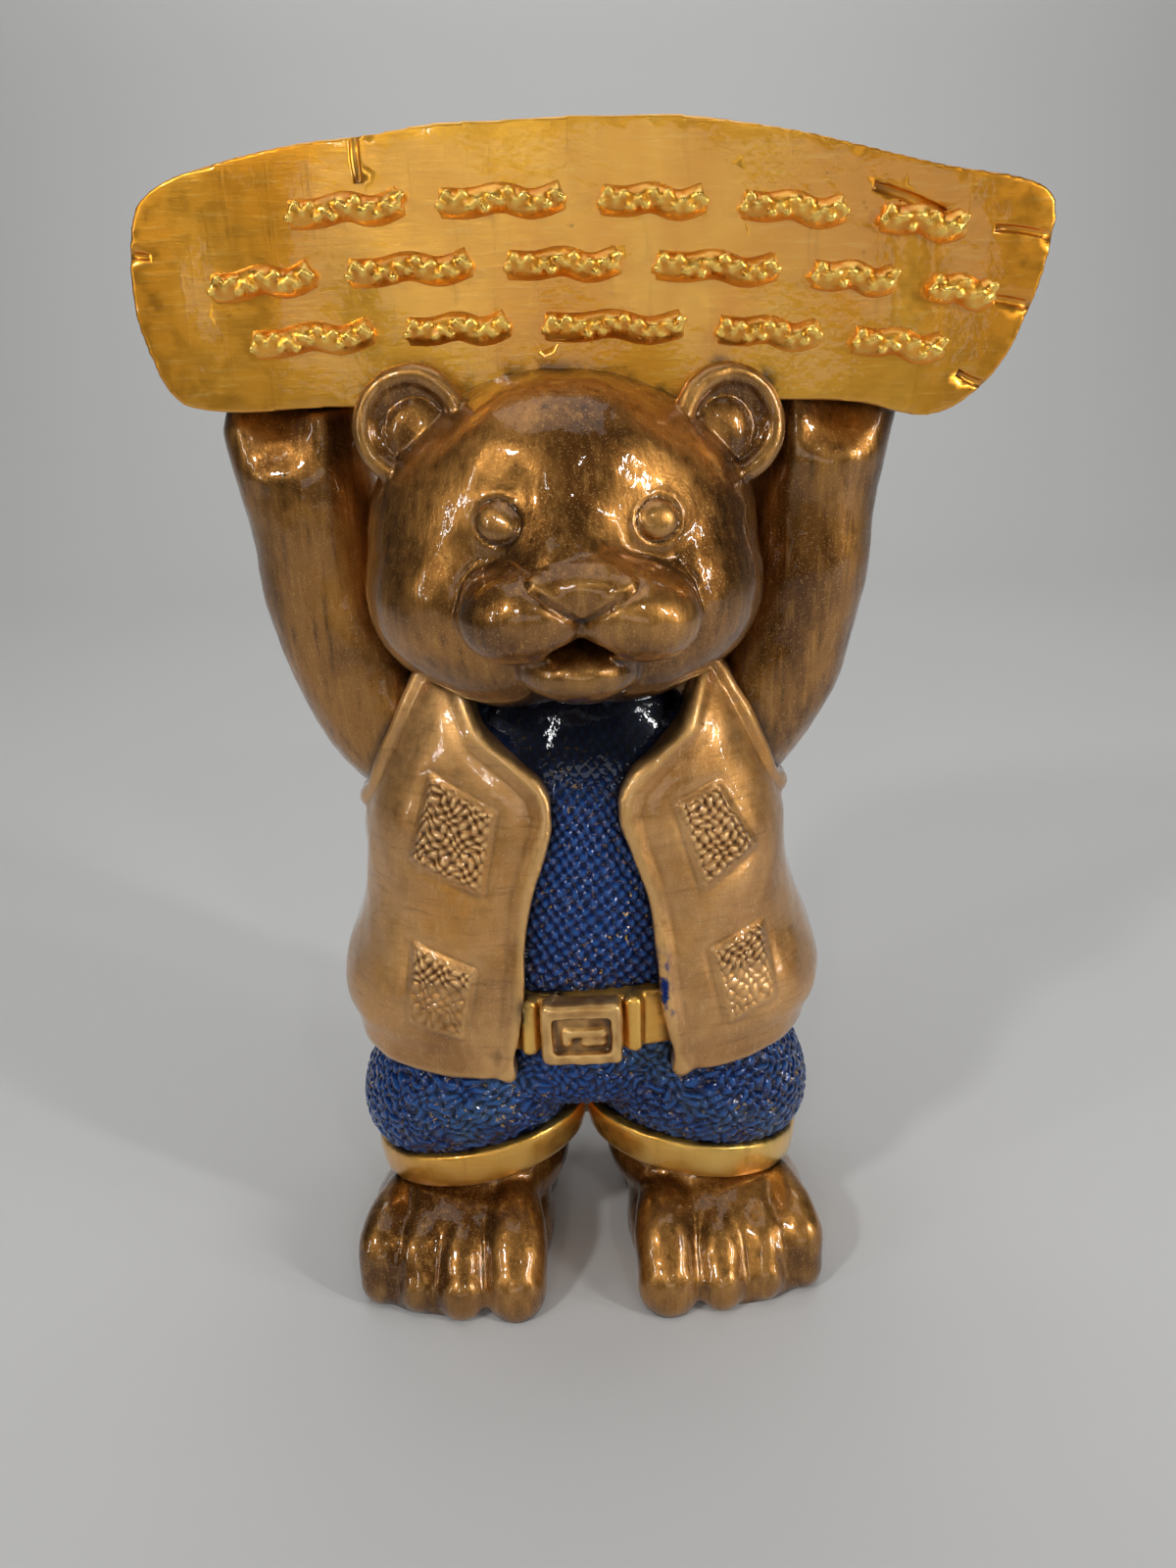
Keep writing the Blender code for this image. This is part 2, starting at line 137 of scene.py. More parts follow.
def mesh_object(name, shells):
    """An object that holds the shells of a bmesh."""
    mesh = bpy.data.meshes.new(name)
    shells.to_mesh(mesh)
    shells.free()
    return linked(name, mesh)


def baked(source, name, weld=True):
    """The source as a plain mesh object, with its modifiers and place applied; the source goes."""
    bpy.context.view_layer.update()
    graph = bpy.context.evaluated_depsgraph_get()
    mesh = bpy.data.meshes.new_from_object(source.evaluated_get(graph))
    mesh.transform(source.matrix_world)
    bpy.data.objects.remove(source)
    if weld:
        shells = bmesh.new()
        shells.from_mesh(mesh)
        bmesh.ops.remove_doubles(shells, verts=shells.verts, dist=0.01 * mm)
        bmesh.ops.recalc_face_normals(shells, faces=shells.faces)
        shells.to_mesh(mesh)
        shells.free()
    return linked(name, mesh)


def degrees(angles):
    """Euler angles in radians from degrees."""
    return Euler([math.radians(angle) for angle in angles])


def at(centre, turn):
    """The move to a centre in standard millimetres, after a turn in degrees."""
    return Matrix.Translation(place(*centre)) @ degrees(turn).to_matrix().to_4x4()


def blob(name, centre, radii, turn=(0, 0, 0)):
    """An ellipsoid; the centre and radii are standard millimetres, the turn is in degrees."""
    shells = bmesh.new()
    matrix = at(centre, turn) @ Matrix.Diagonal((*place(*radii), 1))
    bmesh.ops.create_uvsphere(shells, u_segments=64, v_segments=40, radius=1, matrix=matrix)
    return mesh_object(name, shells)


def block(name, centre, size, bevel, turn=(0, 0, 0)):
    """A box with rounded edges; its sizes are in metres and the turn in degrees."""
    shells = bmesh.new()
    bmesh.ops.create_cube(shells, size=1, matrix=Matrix.Diagonal((*size, 1)))
    made = mesh_object(name, shells)
    made.location = centre
    made.rotation_euler = degrees(turn)
    rounding = made.modifiers.new("rounding", "BEVEL")
    rounding.width = bevel
    rounding.segments = 4
    return baked(made, name)


def ring(name, centre, major, minor, turn):
    """A torus about the axis that turn makes of +Z; its sizes are in metres."""
    bpy.ops.mesh.primitive_torus_add(
        major_segments=72, minor_segments=20, major_radius=major, minor_radius=minor
    )
    return moved(baked(bpy.context.object, name), at(centre, turn))


def spline_through(curve, points, steps):
    """A smooth spline of the curve through the points, with that many steps from each to the next."""
    spline = curve.splines.new("BEZIER")
    spline.bezier_points.add(len(points) - 1)
    spline.resolution_u = steps
    for knot, point in zip(spline.bezier_points, points):
        knot.co = point
        knot.handle_left_type = knot.handle_right_type = "AUTO"
    return spline


def tube(name, points, radii, smoothness=8):
    """A round limb along a smooth curve, with a radius at each of its points, in metres."""
    curve = bpy.data.curves.new(name, "CURVE")
    curve.dimensions = "3D"
    curve.bevel_depth = 1
    curve.bevel_resolution = smoothness
    curve.use_fill_caps = True
    spline = spline_through(curve, points, 12)
    for knot, radius in zip(spline.bezier_points, radii):
        knot.radius = radius
    return baked(linked(name, curve), name)


def upright_prism(name, outline, front, back):
    """A smooth outline of (x, z) points in metres, filled and drawn out from y = front to back."""
    curve = bpy.data.curves.new(name, "CURVE")
    curve.dimensions = "2D"
    curve.fill_mode = "BOTH"
    curve.extrude = (back - front) / 2
    spline = spline_through(curve, [(x, z, 0) for x, z in outline], 10)
    spline.use_cyclic_u = True
    made = linked(name, curve)
    made.rotation_euler = (math.pi / 2, 0, 0)
    made.location.y = (front + back) / 2
    return baked(made, name)


def loft(name, sections, grow=0.0, square=1.0):
    """A soft body through stacked sections (z, centre x, half width, front y, back y)."""
    sides = 20
    cage = bmesh.new()
    rings = []
    for z, middle, half_width, front, back in sections:
        centre = place(middle, (front + back) / 2, z)
        wide = half_width * mm + grow
        deep = (back - front) / 2 * mm + grow
        row = []
        for side in range(sides):
            across = math.cos(math.tau * side / sides)
            along = math.sin(math.tau * side / sides)
            x = wide * math.copysign(abs(across) ** square, across)
            y = deep * math.copysign(abs(along) ** square, along)
            row.append(cage.verts.new(centre + Vector((x, y, 0))))
        rings.append(row)
    for lower, upper in zip(rings, rings[1:]):
        for side in range(sides):
            after = (side + 1) % sides
            cage.faces.new((lower[side], lower[after], upper[after], upper[side]))
    cage.faces.new(reversed(rings[0]))
    cage.faces.new(rings[-1])
    made = mesh_object(name, cage)
    rounding = made.modifiers.new("rounding", "SUBSURF")
    rounding.levels = rounding.render_levels = 3
    return baked(made, name)


def fused(name, parts, voxel, rounds, refine=0):
    """The parts remeshed into one skin, with its creases smoothed; the parts go."""
    shells = bmesh.new()
    for part in parts:
        shells.from_mesh(part.data)
        bpy.data.objects.remove(part)
    made = mesh_object(name, shells)
    skin = made.modifiers.new("skin", "REMESH")
    skin.mode = "VOXEL"
    skin.voxel_size = voxel
    softening = made.modifiers.new("softening", "SMOOTH")
    softening.factor = 0.5
    softening.iterations = rounds
    if refine:
        finer = made.modifiers.new("finer", "SUBSURF")
        finer.levels = finer.render_levels = refine
    return baked(made, name, weld=False)


def changed(target, tool, operation, solver="EXACT"):
    """The target after a Boolean with the tool; the tool goes."""
    name = target.name
    change = target.modifiers.new(operation.lower(), "BOOLEAN")
    change.operation = operation
    change.object = tool
    change.solver = solver
    change.material_mode = "TRANSFER"
    made = baked(target, name, weld=False)
    bpy.data.objects.remove(tool)
    return made


def cut(target, *tools):
    """The target less each of the tools."""
    for tool in tools:
        target = changed(target, tool, "DIFFERENCE")
    return target


def moved(part, matrix):
    """The part with its mesh moved by a matrix."""
    part.data.transform(matrix)
    return part


def thinned(part, triangles):
    """The part with about that many triangles."""
    faces = sum(len(face.vertices) - 2 for face in part.data.polygons)
    thinning = part.modifiers.new("thinning", "DECIMATE")
    thinning.ratio = min(1, triangles / faces)
    return baked(part, part.name, weld=False)


# Relief: moves of a fine mesh's vertices along their normals


def corners(part):
    """The part's vertices as an array of points in standard millimetres."""
    points = np.empty(len(part.data.vertices) * 3)
    part.data.vertices.foreach_get("co", points)
    return points.reshape(-1, 3) / mm


def normals(part):
    """The directions that the part's vertices face, as an array."""
    directions = np.empty(len(part.data.vertices) * 3)
    part.data.vertices.foreach_get("normal", directions)
    return directions.reshape(-1, 3)


def reshaped(part, points):
    """The part with its vertices at new points, in standard millimetres."""
    part.data.vertices.foreach_set("co", (points * mm).ravel())
    part.data.update()
    return part


def raised(part, height):
    """The part with each vertex moved along its normal, in standard millimetres."""
    return reshaped(part, corners(part) + normals(part) * np.asarray(height)[:, None])


def scattered(cells, salt):
    """A fixed pseudo-random number from 0 to 1 for each cell, a whole-number triple."""
    mixed = cells[..., 0] * 73856093 ^ cells[..., 1] * 19349663 ^ cells[..., 2] * 83492791
    mixed = (mixed ^ salt * 2654435761) & 0xFFFFFFFF
    mixed = (mixed ^ (mixed >> 15)) * 2246822519 & 0xFFFFFFFF
    mixed = (mixed ^ (mixed >> 13)) * 3266489917 & 0xFFFFFFFF
    return ((mixed ^ (mixed >> 16)) & 0xFFFFFF) / 0xFFFFFF


def lattice(part, points, across, pitch, loose):
    """Bead heights in slanting rows over the part, which keeps the rows for its paint."""
    along = across * math.cos(BEAD_SLANT) + points[:, 2] * math.sin(BEAD_SLANT)
    over = points[:, 2] * math.cos(BEAD_SLANT) - across * math.sin(BEAD_SLANT)
    away = 0
    for name, rows, length, salt in (("along", along, 11, 21), ("over", over, 12, 23)):
        bend = 1.3 * waves(points, length, salt) + 0.6 * waves(points, length - 6, salt + 1)
        rows = (rows + loose * bend) / pitch
        stored(part, name, rows)
        away = away + (rows - np.floor(rows) - 0.5) ** 2
    return np.maximum(1 - BEAD_FALL * away, 0)


def waves(points, length, salt=0):
    """Smooth low noise from -1 to 1 with a given wave length, from a few crossed sines."""
    total = np.zeros(len(points))
    for number in range(6):
        seed = np.array([[number, salt, 7]], dtype=np.int64)
        direction = np.array([scattered(seed, k)[0] - 0.5 for k in (4, 5, 6)])
        direction /= np.linalg.norm(direction)
        turn = scattered(seed, 8)[0] * math.tau
        stretch = 0.7 + 0.8 * scattered(seed, 9)[0]
        total += np.sin(points @ direction * math.tau * stretch / length + turn)
    return total / 3


def bell(value, middle, width):
    """1 where the value is at the middle, falling smoothly to 0 on both sides."""
    return np.exp(-(((value - middle) / width) ** 2))


def eased(value, low, high):
    """0 below low, 1 above high, and a smooth step between them."""
    share = np.clip((value - low) / (high - low), 0, 1)
    return share * share * (3 - 2 * share)


def stored(part, name, values):
    """Keeps a number for each vertex under a name that the paint reads."""
    layer = part.data.attributes.new(name, "FLOAT", "POINT")
    layer.data.foreach_set("value", np.asarray(values, dtype=np.float32))


def creased(part):
    """Keeps how far each vertex lies under its smoothed surroundings, in standard millimetres."""
    rounds = 12
    count = len(part.data.vertices)
    ends = np.empty(len(part.data.edges) * 2, dtype=np.int32)
    part.data.edges.foreach_get("vertices", ends)
    first, second = ends.reshape(-1, 2).T
    links = np.bincount(ends, minlength=count)[:, None]
    points = corners(part)
    around = points
    for _ in range(rounds):
        sums = [
            np.bincount(first, around[second, axis], count) + np.bincount(second, around[first, axis], count)
            for axis in range(3)
        ]
        around = np.stack(sums, axis=1) / links
    stored(part, "crease", ((around - points) * normals(part)).sum(axis=1))


def route_distance(points, route):
    """Distance in x and z from each point to a route of straight pieces."""
    spots = points[:, [0, 2]]
    nearest = np.full(len(points), np.inf)
    for start, end in zip(np.array(route), np.array(route)[1:]):
        along = end - start
        share = np.clip(((spots - start) @ along) / (along @ along), 0, 1)
        gap = spots - start - share[:, None] * along
        nearest = np.minimum(nearest, np.hypot(gap[:, 0], gap[:, 1]))
    return nearest


def outline_distance(points, outline):
    """Signed distance in x and z from each point to a closed outline; negative inside."""
    closed = [*outline, outline[0]]
    inside = np.zeros(len(points), dtype=bool)
    for (x, z), (next_x, next_z) in zip(closed, closed[1:]):
        crosses = (z > points[:, 2]) != (next_z > points[:, 2])
        with np.errstate(divide="ignore", invalid="ignore"):
            reach = x + (points[:, 2] - z) * (next_x - x) / (next_z - z)
        inside ^= crosses & (points[:, 0] < reach)
    nearest = route_distance(points, closed)
    return np.where(inside, -nearest, nearest)


# Fur


def face_turn():
    """The turn of the face a little to one side, about the middle of the head."""
    middle = place(0, -22, 255)
    return (
        Matrix.Translation(middle + Vector((FACE_OFFSET, 0, 0)))
        @ Matrix.Rotation(FACE_TURN, 4, "Z")
        @ Matrix.Rotation(FACE_ROLL, 4, "Y")
        @ Matrix.Translation(-middle)
    )


def facing(parts):
    """The parts turned with the face."""
    return [moved(part, face_turn()) for part in parts]


def head():
    """The round skull with its cheeks, the flat two-lobed muzzle, and the mouth under it."""
    masses = [
        blob("crown", (0, -22, 264), (61, 48, 48.5)),
        blob("forehead", (0, -38, 277), (41, 32, 34)),
        blob("bridge", (0, -58, 264), (20, 20, 20)),
        blob("bridge", (0, -67, 259.5), (17, 17, 12.5)),
    ]
    for side in (-1, 1):
        masses.append(blob("cheek", (26.5 * side, -26, 248), (36, 43, 33)))
        masses.append(blob("jaw", (16 * side, -34, 234), (31, 34, 22)))
    skull = fused("skull", masses, SOFT, 8, refine=2)
    masses = [blob("bridge", (0, -68, 256.5), (19, 19, 11.5))]
    for side in (-1, 1):
        masses.append(blob("lobe", (15.5 * side, -69, 248.5), (20, 21, 15), (0, 10 * side, -10 * side)))
    rounded = fused("muzzle", masses, SOFT / 2, 9, refine=1)
    chin = fused("chin", [blob("chin", (0, -61, 230.5), (19, 20, 10.5))], SOFT / 2, 2, refine=1)
    mouth = blob("mouth", (0, -86, 235.5), (10.5, 22, 5.6), (14, 0, 0))
    parted = [place(0, -96, 245.5), place(0, -94, 241), place(0, -88, 237)]
    cleft = tube("cleft", parted, [0.8 * mm, 2.6 * mm, 4.5 * mm])
    return [skull, *facing([cut(rounded, mouth, cleft), chin])]


# The nose pad's outline, the creases beside the muzzle and those of the lower lip, as (x, z)
NOSE = [
    (-15, 259.5), (-8, 263.5), (0, 265), (8, 263.5), (15, 259.5), (14, 257.5), (6, 252.5), (0, 248.5),
    (-6, 252.5), (-14, 257.5),
]
CREASES = [
    [(-28, 262.5), (-33.5, 256), (-35, 249), (-33, 241.5), (-27, 236), (-19, 233.5), (-10, 235)],
    [(28, 262.5), (33.5, 256), (35, 249), (33, 241.5), (27, 236), (19, 233.5), (10, 235)],
    [(0, 249), (0, 244)],
]
EYE_SPACING = 22.3
EYE_HEIGHT = 272.5


def face_relief(points):
    """Height of the eyes with their rings and lids, of the nose pad and of the fine creases."""
    turned = np.array(face_turn().inverted())
    local = points @ turned[:3, :3].T + turned[:3, 3] / mm
    front = eased(-local[:, 1], 45, 52) * eased(local[:, 2], 215, 222)
    height = np.zeros(len(points))
    ball = EYE_RADIUS / mm * 0.8
    for side in (-1, 1):
        x = local[:, 0] - EYE_SPACING * side
        z = local[:, 2] - EYE_HEIGHT
        away = np.hypot(x, z)
        lid = np.hypot((x + 1.5 * side) / 9.5, (z - 9) / 12)
        height -= 0.7 * (1 - eased(lid, 0.4, 1.1)) * eased(-x * side, -10, 2)
        height += 3.0 * np.sqrt(np.clip(1 - (away / ball) ** 2, 0, 1))
        height -= 0.4 * bell(away - ball, 0.2, 0.7)
        height += 0.4 * bell(away - ball, 1.4, 0.8)
        bag = bell(away, 11, 3) * eased(-z, 2, 8)
        height -= 0.5 * bag
    pad = outline_distance(local, NOSE)
    lower = eased(-local[:, 2], -262, -258)
    height += 1.2 * (1 - eased(pad, -1.2, 0.4)) * (0.35 + 0.65 * lower)
    height -= 0.7 * bell(pad, 0.9, 0.8) * (0.15 + 0.85 * lower)
    for route in CREASES:
        height -= 0.6 * bell(route_distance(local, route), 0, 0.8)
    return height * front


def ear(side):
    """A round ear with a thick rolled rim and a pad that nearly fills its bowl."""
    x, y, z = 46.6 * side, -36, 296
    lean = (-EAR_LEAN, 0, EAR_TURN * side)
    wide = EAR_RADIUS / mm
    rim = ring("rim", (x, y, z), EAR_RADIUS, EAR_ROLL, (90 - EAR_LEAN, 0, EAR_TURN * side))
    back = blob("ear_back", (x, y + 7, z), (wide + 1, 9, wide + 1), lean)
    bowl = blob("bowl", (x, y - 5, z), (wide - 2.2, 9, wide - 2.2), lean)
    bump = blob("bump", (x - 1.5 * side, y + 4.5, z - 1.5), (wide * 0.78, 7, wide * 0.78), lean)
    return facing([rim, cut(back, bowl), bump])


def arm(side):
    """An arm that widens upward into a paw, which holds the sign from below."""
    path = [(42, 2, 178), (64.5, 1, 204), (77.5, 0, 240), (80.5, 0, 270), (85, 0, 300)]
    radii = [25, 24, 22.7, 22.5, 23.5]
    limb = tube("limb", [place(x * side, y, z) for x, y, z in path], [radius * mm for radius in radii], 16)
    palm = blob("palm", (86 * side, -1, 296), (21, 21, 17))
    limb = fused("limb", [limb, palm], 1.5 * mm, 6, refine=1)
    fingers = []
    for number in range(4):
        x = (72 + 9.5 * number) * side
        knuckles = [place(x, 7, 290), place(x, 9, 308), place(x, 1, 323)]
        fingers.append(tube("finger", knuckles, [7.2 * mm, 6.8 * mm, 5 * mm]))
    return [limb, *fingers]


def palm_relief(points):
    """How far back the hollow palm, its thumb ridge and its lower lip move the arm's front."""
    deep = np.zeros(len(points))
    front = eased(-points[:, 1], 4, 12) * eased(points[:, 2], 262, 272)
    for side in (-1, 1):
        x = points[:, 0] * side
        z = points[:, 2]
        hollow = np.exp(-(((x - 88) / 12) ** 2) - ((z - 303) / 15) ** 2)
        thumb = bell(x, 72.5, 4.5) * eased(z, 268, 288)
        deep += 10.5 * hollow - 1.6 * thumb
        deep -= 1.2 * np.exp(-(((x - 90) / 12) ** 2) - ((z - 283) / 4.5) ** 2)
    return deep * front


def foot(side):
    """A broad foot with four long toes that fan out, and the ankle above it."""
    masses = [
        blob("instep", (48.5 * side, -31, 6), (35, 39, 31)),
        blob("toe_web", (50 * side, -52, 5), (33, 22, 17)),
        blob("heel", (42 * side, 0, 8), (30, 30, 30)),
        blob("ankle", (38 * side, -15, 30), (31, 32, 24)),
    ]
    body = fused("foot", masses, 1.5 * mm, 6, refine=1)
    masses = [body]
    for x, tip, radius in ((27, -80.5, 11.5), (45.5, -79.5, 8.8), (60.5, -75.5, 8.2), (74.5, -70.5, 8.6)):
        end = tip + radius
        root = place((x * 0.8 + 8) * side, -34, 26)
        knuckles = [root, place(x * side, -58, 19), place(x * side, end, 9)]
        widths = [radius * 0.85 * mm, radius * 1.02 * mm, radius * 0.95 * mm]
        masses.append(tube("toe", knuckles, widths))
        masses.append(blob("tip", (x * side, end, 8), (radius * 0.97, radius, radius * 1.15)))
    return [fused("foot", masses, 1.3 * mm, 5, refine=1)]


def fur():
    """Everything in the bronze-brown fur colour: head, arms and feet."""
    masses = head()
    for side in (-1, 1):
        masses += [*ear(side), *arm(side), *foot(side)]
    part = fused("fur", masses, FINE, 4)
    points = corners(part)
    part = raised(part, 0.3 * waves(points, 34) + 0.12 * waves(points, 11, salt=3) + face_relief(points))
    points = corners(part)
    points[:, 1] += palm_relief(points)
    jaw = 0.5 * eased(-points[:, 2], -238, -220) + 0.5 * eased(-points[:, 2], -222, -214)
    stored(part, "shade", jaw * eased(points[:, 2], 150, 170) * (1 - eased(np.abs(points[:, 0]), 40, 62)))
    return reshaped(part, points)


# Clothes

# Sections of the torso and of the vest, as (z, centre x, half width, front y, back y)
TORSO = [
    (70, 0, 70, -50, 44),
    (88, 0, 79, -57, 51),
    (105, 0, 79, -58, 53),
    (125, 0, 74, -56, 51),
    (150, 0, 67, -52, 47),
    (175, 0, 64, -48, 44),
    (195, 0, 58, -43, 41),
    (212, 0, 44, -36, 36),
    (224, 0, 26, -28, 28),
]

VEST = [
    (86, 0, 72, -57, 50),
    (90, 0, 77, -60, 54),
    (104, 0.5, 83.5, -60, 55),
    (116, 0.5, 81.5, -58, 53),
    (130, 0.5, 74, -55, 50),
    (148, 0, 70, -51, 47),
    (164, 0, 70, -49, 45),
    (176, 0, 67, -47, 44),
    (190, 0, 62, -44, 42),
    (204, 0, 57, -40, 39),
    (216, 0, 52, -35, 36),
    (222, 0, 47, -30, 31),
]

# Half widths of the vest's front opening, as (half width, z)
OPENING = [
    (28.5, 60), (28, 85), (25.5, 102), (23, 118), (21.5, 136), (19, 152), (14, 167), (11.5, 178),
    (13.5, 187), (22, 195), (32, 203), (36.5, 214), (41, 228),
]

# Sections of a trouser leg, as (z, half width, front y, back y)
LEG = [
    (38, 33, -47, 17),
    (46, 36, -51, 21),
    (52, 41, -56, 27),
    (62, 43.5, -59, 34),
    (74, 42, -58, 40),
    (84, 36, -54, 42),
    (92, 32, -50, 40),
]
LEG_MIDDLE = 41

# Corners of the four pockets, as (x, z)
UPPER_POCKETS = [
    [(-45.3, 189.7), (-25.8, 179.5), (-31, 154.3), (-53.5, 162.7)],
    [(34, 179.5), (47, 184), (59, 162), (41.8, 152.8)],
]
LOWER_POCKETS = [
    [(-54.5, 133.7), (-35, 127.2), (-39.5, 105.5), (-57.2, 109)],
    [(44.3, 130.5), (61.3, 135), (65, 111.2), (49.5, 106.5)],
]


# The rolled edge of the vest round an arm, as (x, y, z, share of its radius)
ARMHOLE = [
    (46, -22, 223, 0.65), (51.5, -24, 213, 0.75), (57.5, -24.5, 201.5, 0.8), (62.5, -23, 191, 0.85),
    (66, -20, 181, 0.9), (70.5, -10, 173, 1.1), (71.5, 2, 170.5, 1.1), (69, 14, 176, 0.9),
    (62, 22, 192, 0.8), (49, 22, 214, 0.75),
]


def armhole(side):
    """The rolled edge of the vest round an arm, with a knob at the armpit."""
    path = [place(x * side, y, z) for x, y, z, share in ARMHOLE]
    return tube("armhole", path, [share * ARMHOLE_ROLL for x, y, z, share in ARMHOLE])


def pocket_relief(points, outline, bumpy, pebbles):
    """Height of one pocket: a thin raised edge, a groove round it, and a pebbly cloth."""
    gap = outline_distance(points, outline)
    front = eased(-points[:, 1], 12, 22)
    beside = eased(np.abs(points[:, 0]) - np.abs(np.array(outline)[:, 0]).mean(), 6, -6)
    edge = (0.35 + 0.45 * beside) * bell(gap, -0.2, 1.3)
    groove = -0.35 * bell(gap, 2.2, 1.5)
    cloth = eased(-gap, -0.2, 2.2)
    return (edge + groove + cloth * bumpy * (0.3 + 1.1 * pebbles)) * front


def vest():
    """The open vest: a shell over the torso, parted by its curved front opening."""
    shell = loft("vest", VEST, grow=VEST_THICKNESS, square=0.75)
    right = [(VEST_LEAN + x * mm, z * mm) for x, z in OPENING]
    left = [(VEST_LEAN - x * mm, z * mm) for x, z in reversed(OPENING)]
    shell = cut(shell, upright_prism("opening", right + left, -110 * mm, -20 * mm))
    part = fused("vest", [shell, armhole(-1), armhole(1)], FINE, 6)
    points = corners(part)
    height = 0.5 * waves(points, 46, salt=1) + 0.2 * waves(points, 17, salt=2)
    front = eased(-points[:, 1], 14, 24)
    for route in (right, left):
        gap = route_distance(points, np.array(route) / mm)
        height += front * (0.9 * bell(gap, 1.5, 2.4) - 0.5 * bell(gap, 6.5, 2.2))
    hem = points[:, 2] - 90
    height += 1.1 * bell(hem, 0, 3) - 0.7 * bell(hem, 8, 3.5)
    pebbled = np.zeros(len(points))
    pebbles = lattice(part, points, points[:, 0], PEBBLE_PITCH, 0.75)
    for outline in UPPER_POCKETS + LOWER_POCKETS:
        bumpy = 1.0
        if outline in LOWER_POCKETS:
            top = max(z for x, z in outline)
            bumpy = 0.35 + 0.65 * eased(points[:, 2], top - 13, top - 10)
        height += pocket_relief(points, outline, bumpy, pebbles)
        pebbled += eased(-outline_distance(points, outline), -0.6, 1.4) * bumpy * front
    stored(part, "pebbled", pebbled)
    edge = route_distance(points, np.array(right) / mm)
    run = eased(points[:, 2], 108, 114) * (1 - eased(points[:, 2], 128, 136)) * front
    stored(part, "smear", run * (1 - eased(edge, 1.5, 4)) * (points[:, 0] > 0))
    return raised(part, height)


def sloping(side):
    """A shear that lifts the foot of a trouser leg in front and on the inside."""
    slope = Matrix.Identity(4)
    slope[2][0] = -0.17 * side
    slope[2][1] = -0.17
    middle = place(LEG_MIDDLE * side, -16, 0)
    return Matrix.Translation(middle) @ slope @ Matrix.Translation(-middle)


def knit():
    """The shirt and the trousers, with the beads of their rough knit."""
    seat = [
        (64, 0, 56, -44, 40),
        (74, 0, 76, -56, 47),
        (84, 0, 77, -57, 50),
        (96, 0, 77, -58, 51),
        (106, 0, 72, -53, 47),
    ]
    masses = [loft("seat", seat)]
    for side in (-1, 1):
        leg = loft("leg", [(z, LEG_MIDDLE * side, wide, *depth) for z, wide, *depth in LEG])
        masses.append(moved(leg, sloping(side)))
    trousers = fused("trousers", masses, 1.5 * mm, 6, refine=1)
    part = fused("knit", [loft("torso", TORSO), trousers], FINE, 2)
    points = corners(part)
    opening = eased(points[:, 2], 103, 108) * eased(-points[:, 1], 20, 26)
    shirt = opening * (1 - eased(abs(points[:, 0] - 4), 44, 50))
    cloth = eased(-points[:, 2], -104, -98) * eased(points[:, 2], 30, 36)
    plainer = 0.4 + 0.6 * eased(-points[:, 1], -30, -5)
    shade = eased(points[:, 2], 172, 196)
    around = np.arctan2(points[:, 0], -points[:, 1]) * BODY_RADIUS
    beads = lattice(part, points, around, BEAD_PITCH, 0.45 + 0.65 * cloth)
    height = (shirt * (1 - shade) + cloth * plainer) * (1.1 * beads - 0.4)
    stored(part, "shade", shade)
    # Where the trousers' front is greyed: scuffed wear, with a painted sheen
    stored(part, "worn", cloth * eased(-points[:, 1], 30, 48))
    return raised(part, height)


def trim():
    """The cuffs, and the belt with its loops; its buckle is made on its own."""
    masses = []
    low = CUFF_FOOT / mm
    high = (CUFF_FOOT + CUFF_HEIGHT) / mm
    for side in (-1, 1):
        sections = [
            (low, 39.5 * side, 35, -50, 18),
            (low + 0.7, 39.5 * side, 37, -52, 20),
            ((low + high) / 2, 39.5 * side, 38, -53, 21),
            (high - 0.7, 39.5 * side, 38.5, -53.5, 22),
            (high, 39.5 * side, 36.5, -51.5, 20),
        ]
        masses.append(moved(loft("cuff", sections, grow=CUFF_RAISE), sloping(side)))
    middle = BELT_MIDDLE / mm
    half = BELT_WIDTH / 2 / mm
    sections = [
        (middle - half, 0, 78, -58, 52),
        (middle - half + 1, 0, 79, -59, 54),
        (middle, 0, 78.5, -58.5, 53.5),
        (middle + half - 1, 0, 77, -58, 53),
        (middle + half, 0, 76, -57, 52),
    ]
    masses.append(loft("belt", sections, grow=BELT_RAISE))
    for side in (-1, 1):
        x = side * (BUCKLE_WIDTH / 2 + 4 * mm)
        size = (6 * mm, 9 * mm, BELT_WIDTH - 1 * mm)
        centre = (x, -55 * mm - BELT_RAISE, BELT_MIDDLE)
        masses.append(block("loop", centre, size, 2.4 * mm, (0, 0, -8 * side)))
    part = fused("trim", masses, FINE, 2)
    points = corners(part)
    return raised(part, 0.15 * waves(points, 23, salt=4))


def buckle():
    """The square buckle with its open window and the tongue in it."""
    face = -59 * mm - BELT_RAISE - BUCKLE_RAISE
    deep = 4 * BUCKLE_RAISE
    tall = BELT_WIDTH + 1 * mm
    low = BELT_MIDDLE - 1.5 * mm
    plate = block("buckle", (0, face + deep / 2, low), (BUCKLE_WIDTH, deep, tall), 2.6 * mm)
    window = block("window", (0, face, low), (BUCKLE_WIDTH * 0.72, BUCKLE_RAISE * 1.5, tall * 0.6), 1.6 * mm)
    masses = [cut(plate, window)]
    for x, z, wide, high in ((0.8, 0.3, 15, 3.4), (3.8, -3.2, 8, 2.6), (-5.2, -1.8, 3, 5.5)):
        centre = (x * mm, face + BUCKLE_RAISE * 0.85, low + z * mm)
        masses.append(block("tongue", centre, (wide * mm, BUCKLE_RAISE, high * mm), 1.1 * mm))
    part = fused("buckle", masses, 0.6 * mm, 4)
    return raised(part, 0.15 * waves(corners(part), 7, salt=5))


# Sign


